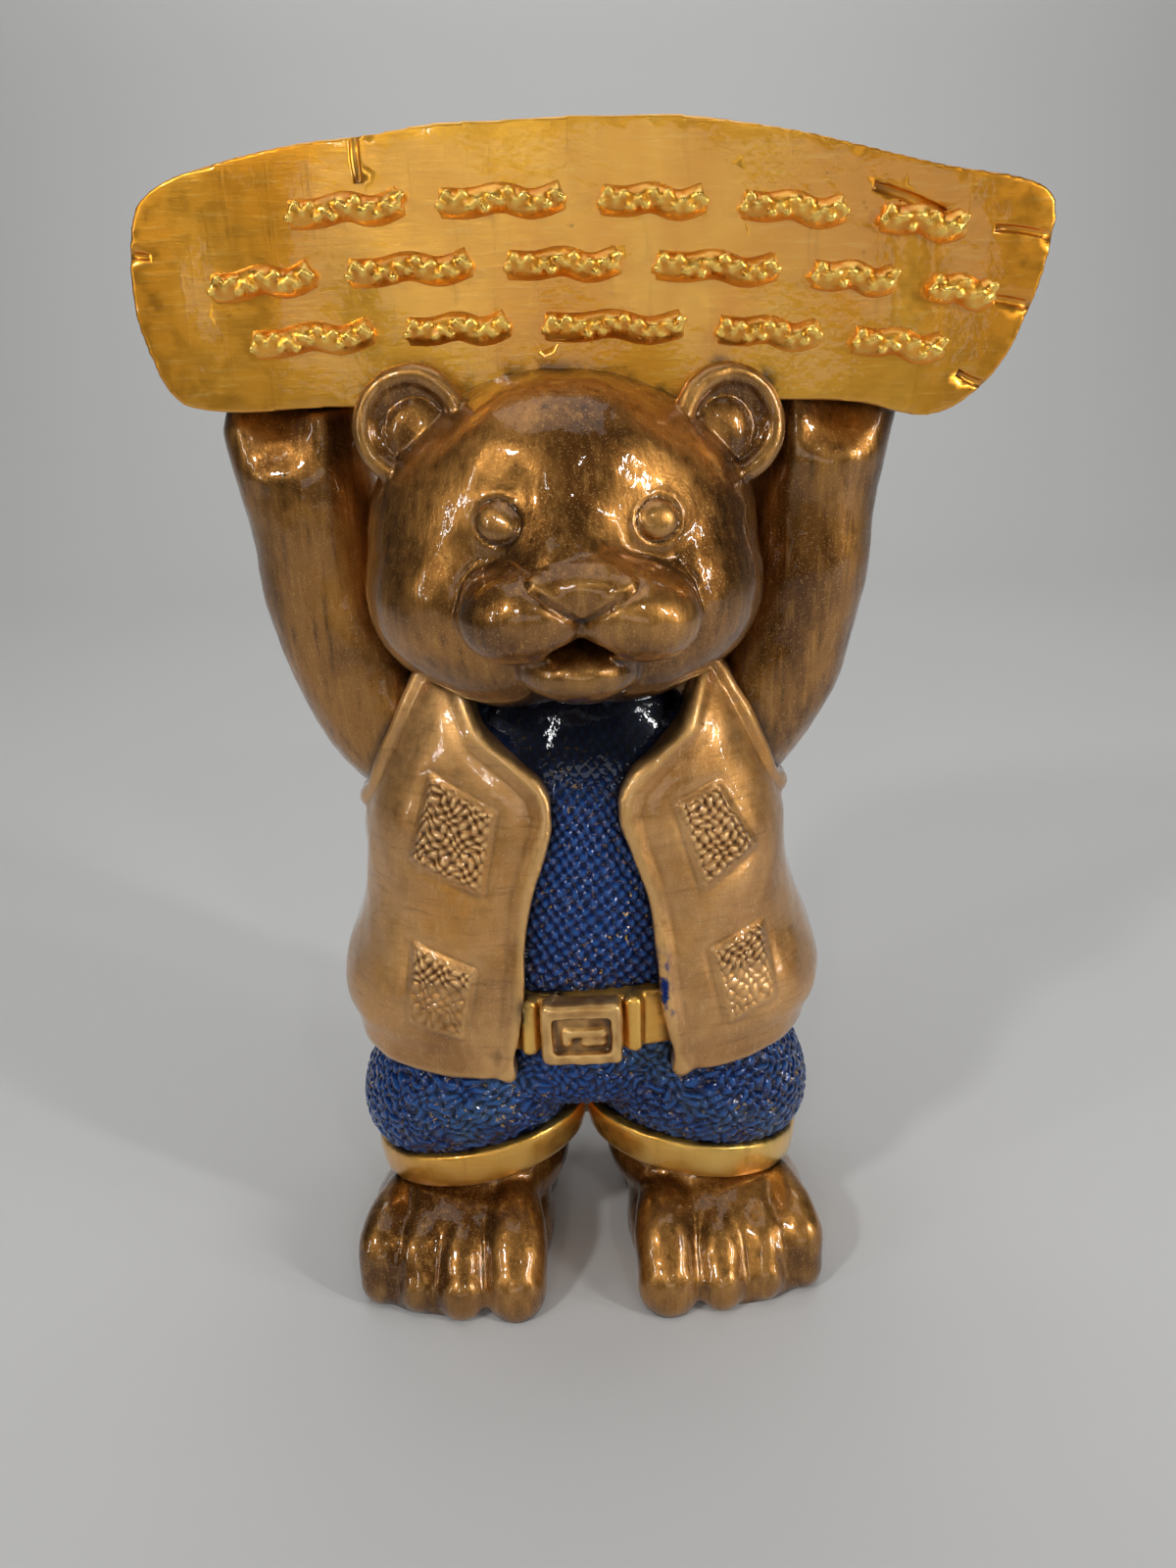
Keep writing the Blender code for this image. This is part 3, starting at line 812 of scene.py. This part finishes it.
def on_sign(x, y, z):
    """A point of the sign, from its place across the width, behind the front and above the foot."""
    tilted = Euler((0, SIGN_TILT, 0)).to_matrix() @ Vector((x, 0, z))
    bow = SIGN_BOW * (x / (SIGN_WIDTH / 2)) ** 2
    return tilted + Vector((SIGN_OFFSET, y + bow + SIGN_FRONT, SIGN_FOOT))


def board():
    """The plank: a bowed board with ragged ends, split by short cracks."""
    edge = [
        (-0.88, -0.5), (-0.925, 2), (-0.975, 14), (-1, 28), (-0.995, 40), (-0.98, 51), (-0.96, 56),
        (-0.79, 65), (-0.48, 72), (-0.13, 76.4), (0.27, 76.2), (0.53, 71.5), (0.73, 66), (0.985, 59),
        (1, 55), (1, 47), (0.985, 34), (0.965, 26), (0.93, 15), (0.87, 5.5), (0.81, 0), (0.75, -1.8),
        (0.6, 2), (0.4, 2.5), (0, 0), (-0.6, 0),
    ]
    half = SIGN_WIDTH / 2
    plank = upright_prism("board", [(share * half, z * mm) for share, z in edge], 0, SIGN_THICKNESS)
    rounding = plank.modifiers.new("rounding", "BEVEL")
    rounding.width = 3.5 * mm
    rounding.segments = 4
    rounding.limit_method = "ANGLE"
    plank = baked(plank, "board")
    part = fused("board", [plank], FINE, 5)
    for vertex in part.data.vertices:
        vertex.co = on_sign(*vertex.co)
    cracks = [
        [(0.6, 60), (0.68, 57), (0.76, 53)],
        [(0.87, 49.5), (0.93, 49), (1.02, 47)],
        [(0.86, 31), (0.93, 30), (1.02, 27)],
        [(0.82, 10.5), (0.86, 8), (0.92, 6)],
        [(-0.49, 77), (-0.495, 68), (-0.49, 60)],
        [(-1.02, 42), (-0.99, 41.5), (-0.95, 41)],
    ]
    grooves = []
    for route in cracks:
        points = [on_sign(share * half, -0.2 * mm, z * mm) for share, z in route]
        grooves.append(tube("crack", points, [CRACK_RADIUS] * len(points)))
    part = cut(part, *grooves)
    points = corners(part)
    return raised(part, 0.3 * waves(points * np.array([1, 1, 0.5]), 30, salt=6))


def strokes():
    """Three bowed rows of short raised strokes with a beaded crest, in place of writing."""
    rows = {
        56: [(-0.64, -0.4), (-0.32, -0.06), (0.02, 0.24), (0.32, 0.54), (0.62, 0.8)],
        39.5: [(-0.82, -0.6), (-0.52, -0.26), (-0.18, 0.06), (0.14, 0.4), (0.48, 0.66), (0.74, 0.88)],
        23: [(-0.74, -0.48), (-0.4, -0.18), (-0.1, 0.2), (0.28, 0.5), (0.58, 0.78)],
    }
    half = SIGN_WIDTH / 2
    row_sag = 10
    bead_spacing = 2.1 * mm
    steps = 16
    masses = []
    for height, spans in rows.items():
        for start, end in spans:
            points = []
            for step in range(steps + 1):
                share = start + (end - start) * step / steps
                wave = 1.3 * math.sin(2.2 * math.tau * step / steps)
                sag = row_sag * share**2
                points.append((share * half, (height + wave - sag) * mm))
            knots = points[::4]
            spine = [on_sign(x, STROKE_RADIUS - STROKE_RAISE, z) for x, z in knots]
            masses.append(tube("stroke", spine, [STROKE_RADIUS] * len(spine)))
            count = max(4, round((end - start) * half / bead_spacing))
            for bead in range(count + 1):
                at = bead / count * steps
                low = min(int(at), steps - 1)
                share = at - low
                x = points[low][0] * (1 - share) + points[low + 1][0] * share
                z = points[low][1] * (1 - share) + points[low + 1][1] * share
                side = 1.1 * mm * (1 if bead % 2 else -1)
                spot = on_sign(x, -STROKE_RAISE + 0.3 * mm, z + side) / mm
                masses.append(blob("bead", spot, (1.35, 1.0, 1.35)))
    return fused("strokes", masses, 0.7 * mm, 1)


# Paint


class Nodes:
    """A paint's node tree, with short calls for the nodes that the paints share."""

    def __init__(self, name):
        self.material = bpy.data.materials.new(name)
        self.material.use_nodes = True
        self.tree = self.material.node_tree
        self.shader = self.tree.nodes["Principled BSDF"]
        self.place = self.node("TexCoord").outputs["Object"]

    def link(self, source, target):
        """Links an output to an input, or sets the input where the source is a plain value."""
        if isinstance(source, bpy.types.NodeSocket):
            self.tree.links.new(source, target)
        else:
            target.default_value = source

    def node(self, kind, **inputs):
        """A new node with its inputs linked or set; a space in an input's name is written _."""
        made = self.tree.nodes.new("ShaderNode" + kind)
        for name, source in inputs.items():
            self.link(source, made.inputs[name.replace("_", " ")])
        return made

    def attribute(self, name):
        """A number that each vertex of the part keeps under a name."""
        node = self.node("Attribute")
        node.attribute_name = name
        return node.outputs["Fac"]

    def noise(self, scale, detail, stretch=(1, 1, 1), rough=0.55, twist=0.0):
        """Cloudy noise, finer with a larger scale and squeezed along the axes by the stretch."""
        spot = self.node("Mapping", Vector=self.place, Scale=stretch).outputs["Vector"]
        node = self.node("TexNoise", Vector=spot, Scale=scale, Detail=detail, Roughness=rough)
        node.inputs["Distortion"].default_value = twist
        return node.outputs["Fac"]

    def beads(self):
        """The same bead heights that the relief has, from the rows that it kept."""
        away = 0.0
        for name in ("along", "over"):
            inside = self.sum(self.sum(self.attribute(name), 0, "FRACT"), 0.5, "SUBTRACT")
            away = self.sum(self.times(inside, inside), away)
        return self.sum(self.sum(1, self.times(away, BEAD_FALL), "SUBTRACT"), 0, "MAXIMUM")

    def specks(self, scale):
        """A random grey for each small cell, for mica flecks."""
        cells = self.node("TexVoronoi", Vector=self.place, Scale=scale)
        return self.node("SeparateColor", Color=cells.outputs["Color"]).outputs["Red"]

    def between(self, value, low, high, start=0.0, end=1.0):
        """The value stretched from low and high to start and end, smooth and clamped."""
        node = self.node("MapRange", Value=value, From_Min=low, From_Max=high, To_Min=start, To_Max=end)
        node.interpolation_type = "SMOOTHSTEP"
        return node.outputs["Result"]

    def sum(self, first, second, operation="ADD"):
        """The sum of two values, or the outcome of another operation on them."""
        node = self.node("Math")
        node.operation = operation
        self.link(first, node.inputs[0])
        self.link(second, node.inputs[1])
        return node.outputs["Value"]

    def times(self, first, second):
        """The product of two values."""
        return self.sum(first, second, "MULTIPLY")

    def mix(self, share, first, second):
        """One colour turning into another as the share goes from 0 to 1."""
        node = self.node("Mix")
        node.data_type = "RGBA"
        self.link(share, node.inputs["Factor"])
        for colour, socket in ((first, node.inputs["A"]), (second, node.inputs["B"])):
            self.link(colour if isinstance(colour, bpy.types.NodeSocket) else (*colour, 1), socket)
        return node.outputs["Result"]

    def tinted(self, colour, paint, value, low, high, most=1.0):
        """The colour, turning into the paint as the value goes from low to high."""
        return self.mix(self.between(value, low, high, 0, most), colour, paint)

    def seam(self, scale, detail, low, high, least=0.0, most=1.0):
        """How much painted shade and grime lie on the seams, broken up by noise."""
        share = self.between(self.noise(scale, detail), low, high, least, most)
        return self.times(self.attribute("seam"), share)

    def patchy(self, scale, detail, least, most):
        """A roughness that varies from place to place."""
        return self.between(self.noise(scale, detail), 0.3, 0.7, least, most)

    def bump(self, height, strength, distance):
        """The shading of small relief, with its distance in standard millimetres."""
        node = self.node("Bump", Height=height, Strength=strength, Distance=distance * mm)
        return node.outputs["Normal"]

    def finish(self, colour, metallic, roughness, normal, relief=0.0):
        """The paint under its clear coat, which ripples a little and follows the coarse relief."""
        ripple = self.times(self.sum(self.noise(120, 2), self.times(self.noise(420, 2), 0.35)), 0.22)
        settings = {
            "Base Color": colour, "Metallic": metallic, "Roughness": roughness, "Normal": normal,
            "Specular IOR Level": 0.1, "Coat Weight": 1, "Coat Roughness": 0.035, "Coat IOR": 1.4,
            "Coat Normal": self.bump(self.sum(ripple, relief), 1, 1),
        }
        for name, source in settings.items():
            self.link(source, self.shader.inputs[name])
        return self.material


# Near-black brown: painted shade in creases, and painted shade with some grime on seams
SHADE_AND_GRIME = (0.012, 0.007, 0.004)


def fur_bronze():
    """Dark bronze brown, brushed with gold on the raised places, with painted shade in the creases and
    painted shade with grime in the seams.
    """
    nodes = Nodes("fur_bronze")
    crease = nodes.attribute("crease")
    blotch = nodes.between(nodes.noise(17, 4, twist=0.6), 0.38, 0.64)
    colour = nodes.mix(blotch, (0.13, 0.049, 0.009), (0.40, 0.18, 0.04))
    streak = nodes.noise(42, 5, (9, 9, 1), 0.65)
    colour = nodes.tinted(colour, (0.68, 0.34, 0.085), streak, 0.5, 0.78, 0.55)
    colour = nodes.tinted(colour, (0.035, 0.013, 0.003), streak, 0.5, 0.24, 0.7)
    colour = nodes.tinted(colour, (0.6, 0.31, 0.085), crease, -0.08, -0.5, 0.5)
    colour = nodes.tinted(colour, (0.8, 0.46, 0.15), nodes.specks(3200), 0.88, 0.99, 0.4)
    # Painted shade, darkening the fur's creases
    colour = nodes.tinted(colour, SHADE_AND_GRIME, crease, 0.2, 1.1, 0.9)
    # Painted shade, with some grime, on the seams between paints
    colour = nodes.mix(nodes.seam(75, 4, 0.25, 0.6, 0.45), colour, SHADE_AND_GRIME)
    colour = nodes.mix(nodes.times(nodes.attribute("shade"), 0.92), colour, (0.004, 0.002, 0.001))
    fine = nodes.sum(streak, nodes.times(nodes.noise(900, 2), 0.5))
    return nodes.finish(colour, 0.85, nodes.patchy(260, 3, 0.3, 0.46), nodes.bump(fine, 0.4, 0.3))


def vest_tan():
    """Golden tan, with cloudy brush marks, amber runs and glossy pebbles on its pockets, with painted shade
    between them and painted highlights on their crests.
    """
    nodes = Nodes("vest_tan")
    crease = nodes.attribute("crease")
    cloud = nodes.between(nodes.noise(20, 4, twist=0.8), 0.34, 0.68)
    colour = nodes.mix(cloud, (0.36, 0.16, 0.042), (0.68, 0.36, 0.125))
    colour = nodes.tinted(colour, (0.66, 0.28, 0.035), nodes.noise(13, 3), 0.52, 0.72, 0.7)
    weave = nodes.noise(60, 5, (7, 7, 1), 0.7)
    across = nodes.noise(60, 5, (1, 1, 9), 0.7)
    colour = nodes.tinted(colour, (0.88, 0.55, 0.25), weave, 0.5, 0.8, 0.4)
    colour = nodes.tinted(colour, (0.20, 0.085, 0.025), across, 0.5, 0.25, 0.5)
    colour = nodes.tinted(colour, (0.9, 0.54, 0.19), crease, -0.08, -0.6, 0.5)
    colour = nodes.tinted(colour, (0.95, 0.72, 0.4), nodes.specks(3200), 0.92, 0.99, 0.3)
    pebbled = nodes.attribute("pebbled")
    pebbles = nodes.beads()
    # Painted shade between the pocket pebbles
    gap = nodes.times(pebbled, nodes.between(pebbles, 0.5, 0.05, 0.05, 0.75))
    colour = nodes.mix(gap, colour, (0.08, 0.032, 0.009))
    # Painted highlights on the crests of the pocket pebbles
    crest = nodes.times(pebbled, nodes.between(pebbles, 0.6, 0.95, 0, 0.6))
    colour = nodes.mix(crest, colour, (0.98, 0.62, 0.27))
    # Painted shade, darkening the vest's creases
    colour = nodes.tinted(colour, (0.055, 0.022, 0.006), crease, 0.08, 0.65, 0.75)
    # Painted shade, with some grime, on the seams between paints
    colour = nodes.mix(nodes.seam(75, 4, 0.3, 0.65, 0.25, 0.95), colour, (0.03, 0.013, 0.004))
    smear = nodes.times(nodes.attribute("smear"), nodes.between(nodes.noise(150, 3), 0.42, 0.55))
    colour = nodes.mix(smear, colour, (0.004, 0.025, 0.16))
    fine = nodes.sum(weave, nodes.sum(across, nodes.times(nodes.noise(900, 2), 0.5)))
    coarse = nodes.times(nodes.times(pebbled, pebbles), 0.7)
    relief = nodes.sum(nodes.times(fine, 0.08), coarse)
    return nodes.finish(colour, 0.8, nodes.patchy(240, 3, 0.36, 0.52), nodes.bump(relief, 1, 1), coarse)


def knit_blue():
    """Deep blue beads, lighter on their crests as a painted highlight, with painted shade darkening the
    ground between them, scuffed grey with a painted sheen in front, and gold specks between them.
    """
    nodes = Nodes("knit_blue")
    shade = nodes.attribute("shade")
    beads = nodes.beads()
    tone = nodes.between(nodes.noise(22, 4), 0.35, 0.65)
    colour = nodes.mix(tone, (0.0015, 0.014, 0.085), (0.003, 0.038, 0.19))
    # Grey wear with a painted sheen on the front of the trousers
    worn = nodes.times(nodes.attribute("worn"), nodes.between(nodes.noise(34, 5), 0.44, 0.66))
    colour = nodes.mix(nodes.times(worn, 0.7), colour, (0.06, 0.12, 0.20))
    # Painted highlight: lighter blue on the crests of the beads
    colour = nodes.tinted(colour, (0.02, 0.13, 0.44), beads, 0.6, 1, 0.5)
    # Painted shade: near black between the beads
    colour = nodes.tinted(colour, (0.0008, 0.003, 0.014), beads, 0.5, 0.1, 0.85)
    patch = nodes.between(nodes.noise(48, 3), 0.5, 0.68)
    speck = nodes.between(nodes.noise(560, 2), 0.62, 0.68)
    gold = nodes.times(speck, nodes.sum(0.2, nodes.times(patch, 0.7)))
    colour = nodes.mix(gold, colour, (0.7, 0.42, 0.1))
    # Painted shade, with some grime, on the seams between paints
    colour = nodes.mix(nodes.seam(75, 4, 0.3, 0.6, 0.35, 0.9), colour, (0.001, 0.002, 0.005))
    colour = nodes.mix(nodes.times(shade, 0.96), colour, (0.0004, 0.0006, 0.002))
    coarse = nodes.times(nodes.times(beads, nodes.sum(1, shade, "SUBTRACT")), 0.6)
    relief = nodes.sum(coarse, nodes.times(nodes.noise(1100, 3), 0.08))
    return nodes.finish(colour, 0.3, nodes.patchy(300, 2, 0.3, 0.5), nodes.bump(relief, 1, 1), coarse)


def bright_gold(name, amber_left):
    """Bright brushed gold with darker runs; the sign's left side is more amber."""
    nodes = Nodes(name)
    run = nodes.between(nodes.noise(14, 3, (1, 1, 0.35), twist=0.5), 0.38, 0.66)
    if amber_left:
        colour = nodes.mix(run, (0.78, 0.32, 0.025), (1.0, 0.55, 0.07))
        split = nodes.node("SeparateXYZ", Vector=nodes.place)
        colour = nodes.tinted(colour, (0.80, 0.32, 0.02), split.outputs["X"], 0.02, -0.1, 0.6)
        colour = nodes.tinted(colour, (0.62, 0.29, 0.03), split.outputs["Z"], 0.33, 0.302, 0.45)
    else:
        colour = nodes.mix(run, (0.90, 0.45, 0.07), (1.0, 0.64, 0.15))
    drip = nodes.between(nodes.noise(55, 4, (5, 5, 0.5), 0.6), 0.54, 0.78, 0, 0.35)
    colour = nodes.mix(drip, colour, (0.52, 0.22, 0.02))
    shine = nodes.noise(70, 5, (1, 1, 10), 0.7)
    colour = nodes.tinted(colour, (1.0, 0.72, 0.2), shine, 0.5, 0.8, 0.4)
    # Painted shade, darkening the creases
    colour = nodes.tinted(colour, (0.16, 0.055, 0.006), nodes.attribute("crease"), 0.1, 0.7, 0.8)
    colour = nodes.tinted(colour, (0.24, 0.1, 0.015), nodes.noise(190, 4), 0.7, 0.78, 0.6)
    # Painted shade, with some grime, on the seams between paints
    colour = nodes.mix(nodes.seam(90, 5, 0.4, 0.6), colour, (0.02, 0.011, 0.005))
    fine = nodes.sum(shine, nodes.times(drip, 1.2))
    return nodes.finish(colour, 0.92, nodes.patchy(200, 3, 0.28, 0.42), nodes.bump(fine, 0.35, 0.3))


def stroke_amber():
    """Amber in the hollows of the strokes, with painted shade in the deepest of them, and gold on their
    beads.
    """
    nodes = Nodes("stroke_amber")
    crease = nodes.attribute("crease")
    cloud = nodes.between(nodes.noise(60, 3), 0.35, 0.65)
    colour = nodes.mix(cloud, (0.72, 0.26, 0.016), (0.92, 0.40, 0.035))
    colour = nodes.tinted(colour, (1.0, 0.62, 0.12), crease, -0.02, -0.45)
    # Painted shade in the deepest hollows of the strokes
    colour = nodes.tinted(colour, (0.22, 0.06, 0.004), crease, 0.05, 0.5, 0.8)
    fine = nodes.bump(nodes.noise(800, 3), 0.25, 0.3)
    return nodes.finish(colour, 0.9, nodes.patchy(300, 2, 0.25, 0.4), fine)


def buckle_gold():
    """The buckle's scuffed tan gold, darker in its window from painted shade."""
    nodes = Nodes("buckle_gold")
    crease = nodes.attribute("crease")
    cloud = nodes.between(nodes.noise(90, 4), 0.35, 0.65)
    colour = nodes.mix(cloud, (0.42, 0.19, 0.045), (0.76, 0.42, 0.13))
    colour = nodes.tinted(colour, (0.95, 0.6, 0.22), crease, -0.04, -0.4, 0.8)
    # Painted shade in the creases and the window
    colour = nodes.tinted(colour, (0.06, 0.024, 0.005), crease, 0.03, 0.4, 0.9)
    fine = nodes.bump(nodes.noise(500, 4), 0.3, 0.3)
    return nodes.finish(colour, 0.82, nodes.patchy(300, 2, 0.3, 0.45), fine)


def statue():
    """All the painted parts joined into one closed surface, before it is moved to its place."""
    makers = [
        (knit, knit_blue()),
        (vest, vest_tan()),
        (trim, bright_gold("trim_gold", False)),
        (buckle, buckle_gold()),
        (fur, fur_bronze()),
        (board, bright_gold("sign_gold", True)),
        (strokes, stroke_amber()),
    ]
    whole = None
    for make, paint in makers:
        part = make()
        creased(part)
        part.data.materials.clear()
        part.data.materials.append(paint)
        whole = part if whole is None else changed(whole, part, "UNION", "MANIFOLD")
    deep = 100 * mm
    ground = block("ground", (0, 0, -deep / 2), (600 * mm, 400 * mm, deep), 0.1 * mm)
    whole = changed(whole, ground, "DIFFERENCE", "MANIFOLD")
    whole.name = "bear_statue_painted"
    whole = thinned(whole, TRIANGLES)
    whole.data.name = whole.name
    split_long_edges(whole)
    whole.data.shade_smooth()
    crease_borders(whole)
    return whole


def split_long_edges(part):
    """Halves the long edges of the flat places twice, for even shading and paint."""
    faces = bmesh.new()
    faces.from_mesh(part.data)
    for longest in (7 * mm, 5 * mm):
        long_edges = [edge for edge in faces.edges if edge.calc_length() > longest]
        bmesh.ops.subdivide_edges(faces, edges=long_edges, cuts=1)
        bmesh.ops.triangulate(faces, faces=faces.faces)
    faces.to_mesh(part.data)
    faces.free()


def repaint_specks(faces):
    """Gives each stray patch of paint, left where parts were joined, the paint round it."""
    seen = set()
    for start in faces.faces:
        if start.index in seen:
            continue
        seen.add(start.index)
        patch = [start]
        around = []
        for face in patch:
            for other in (other for edge in face.edges for other in edge.link_faces):
                if other.material_index != start.material_index:
                    around.append(other.material_index)
                elif other.index not in seen:
                    seen.add(other.index)
                    patch.append(other)
        if around and sum(face.calc_area() for face in patch) < SPECK_AREA:
            paint = max(set(around), key=around.count)
            for face in patch:
                face.material_index = paint


def crease_borders(part):
    """Sharpens the shading between two paints, and keeps how near each vertex is to a seam."""
    reach = 2.2 * mm
    strokes_paint = part.data.materials.find("stroke_amber")
    faces = bmesh.new()
    faces.from_mesh(part.data)
    repaint_specks(faces)
    border = []
    for edge in faces.edges:
        paints = {face.material_index for face in edge.link_faces}
        edge.smooth = len(paints) == 1
        if len(paints) > 1 and strokes_paint not in paints:
            border.append(sum((corner.co for corner in edge.verts), Vector()) / 2)
    near = KDTree(len(border))
    for number, spot in enumerate(border):
        near.insert(spot, number)
    near.balance()
    seam = [math.exp(-((near.find(corner.co)[2] / reach) ** 2)) for corner in faces.verts]
    faces.to_mesh(part.data)
    faces.free()
    stored(part, "seam", seam)


def camera(shift):
    """The camera where the photograph was taken, for a frame of 3 by 4."""
    lens = bpy.data.cameras.new("camera")
    lens.sensor_fit = "VERTICAL"
    lens.sensor_height = SENSOR_HEIGHT
    lens.lens = FOCAL_LENGTH
    lens.clip_start = 0.01
    made = linked("camera", lens)
    aim = degrees((90 - CAMERA_DIP, 0, 0)).to_matrix() @ degrees((0, 0, -CAMERA_ROLL)).to_matrix()
    made.matrix_world = Matrix.Translation(Vector(CAMERA_PLACE) + shift) @ aim.to_4x4()
    bpy.context.scene.camera = made


def softbox(name, place_at, target, size, power):
    """A rectangular light that faces its target, in metres and watts."""
    light = bpy.data.lights.new(name, "AREA")
    light.shape = "RECTANGLE"
    light.size, light.size_y = size
    light.energy = power
    made = linked(name, light)
    made.location = place_at
    made.rotation_euler = (Vector(target) - Vector(place_at)).to_track_quat("-Z", "Y").to_euler()


def pale_floor():
    """A pale floor that curves up behind."""
    shells = bmesh.new()
    flat_end = 1.2
    bend = 0.8
    steps = 12
    profile = [(-3, 0), (flat_end, 0)]
    for step in range(1, steps + 1):
        angle = math.pi / 2 * step / steps
        profile.append((flat_end + bend * math.sin(angle), bend - bend * math.cos(angle)))
    profile.append((flat_end + bend, 3.5))
    rows = [[shells.verts.new((x, y, z)) for y, z in profile] for x in (-4, 4)]
    for number in range(len(profile) - 1):
        shells.faces.new((rows[0][number], rows[1][number], rows[1][number + 1], rows[0][number + 1]))
    floor = mesh_object("floor", shells)
    floor.data.shade_smooth()
    pale = bpy.data.materials.new("pale_floor")
    pale.use_nodes = True
    shader = pale.node_tree.nodes["Principled BSDF"]
    shader.inputs["Base Color"].default_value = (0.66, 0.66, 0.65, 1)
    shader.inputs["Roughness"].default_value = 0.6
    floor.data.materials.append(pale)


def studio():
    """The floor, a dim surround and soft lights."""
    pale_floor()
    world = bpy.data.worlds.new("studio")
    world.use_nodes = True
    back = world.node_tree.nodes["Background"]
    back.inputs["Color"].default_value = (0.93, 0.95, 1, 1)
    back.inputs["Strength"].default_value = 0.04
    bpy.context.scene.world = world
    bpy.context.scene.view_settings.view_transform = "Standard"
    aim = (0, 0, 0.2)
    softbox("key", (-0.95, -1.0, 1.2), aim, (0.15, 0.15), 6)
    softbox("fill", (1.2, -0.8, 0.8), aim, (0.06, 0.5), 5.5)
    softbox("top", (0.0, -0.1, 1.6), aim, (1.4, 0.9), 4.5)
    softbox("window", (-0.35, -1.5, 0.95), aim, (0.03, 0.3), 1.5)
    softbox("lamp", (0.5, -1.4, 1.3), aim, (0.06, 0.06), 1.5)
    softbox("front", (0.1, -2.0, 0.5), (0, 0, 0.33), (1.6, 0.42), 2.7)
    softbox("left_strip", (-1.35, -0.75, 0.62), (0, 0, 0.27), (0.022, 0.6), 2)
    softbox("right_strip", (1.35, -0.6, 0.5), (0, 0, 0.27), (0.025, 0.6), 3)
    softbox("backdrop", (0, 0.9, 2.0), (0, 1.9, 0.5), (2.4, 0.6), 17)


painted = statue()
low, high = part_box(NODE)
spread = corners(painted) * mm
middle = (spread.min(axis=0) + spread.max(axis=0)) / 2
shift = Vector(((low[0] + high[0]) / 2 - middle[0], (low[1] + high[1]) / 2 - middle[1], 0))
moved(painted, Matrix.Translation(shift))
camera(shift)
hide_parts(NODE)
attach(painted, "root")
studio()
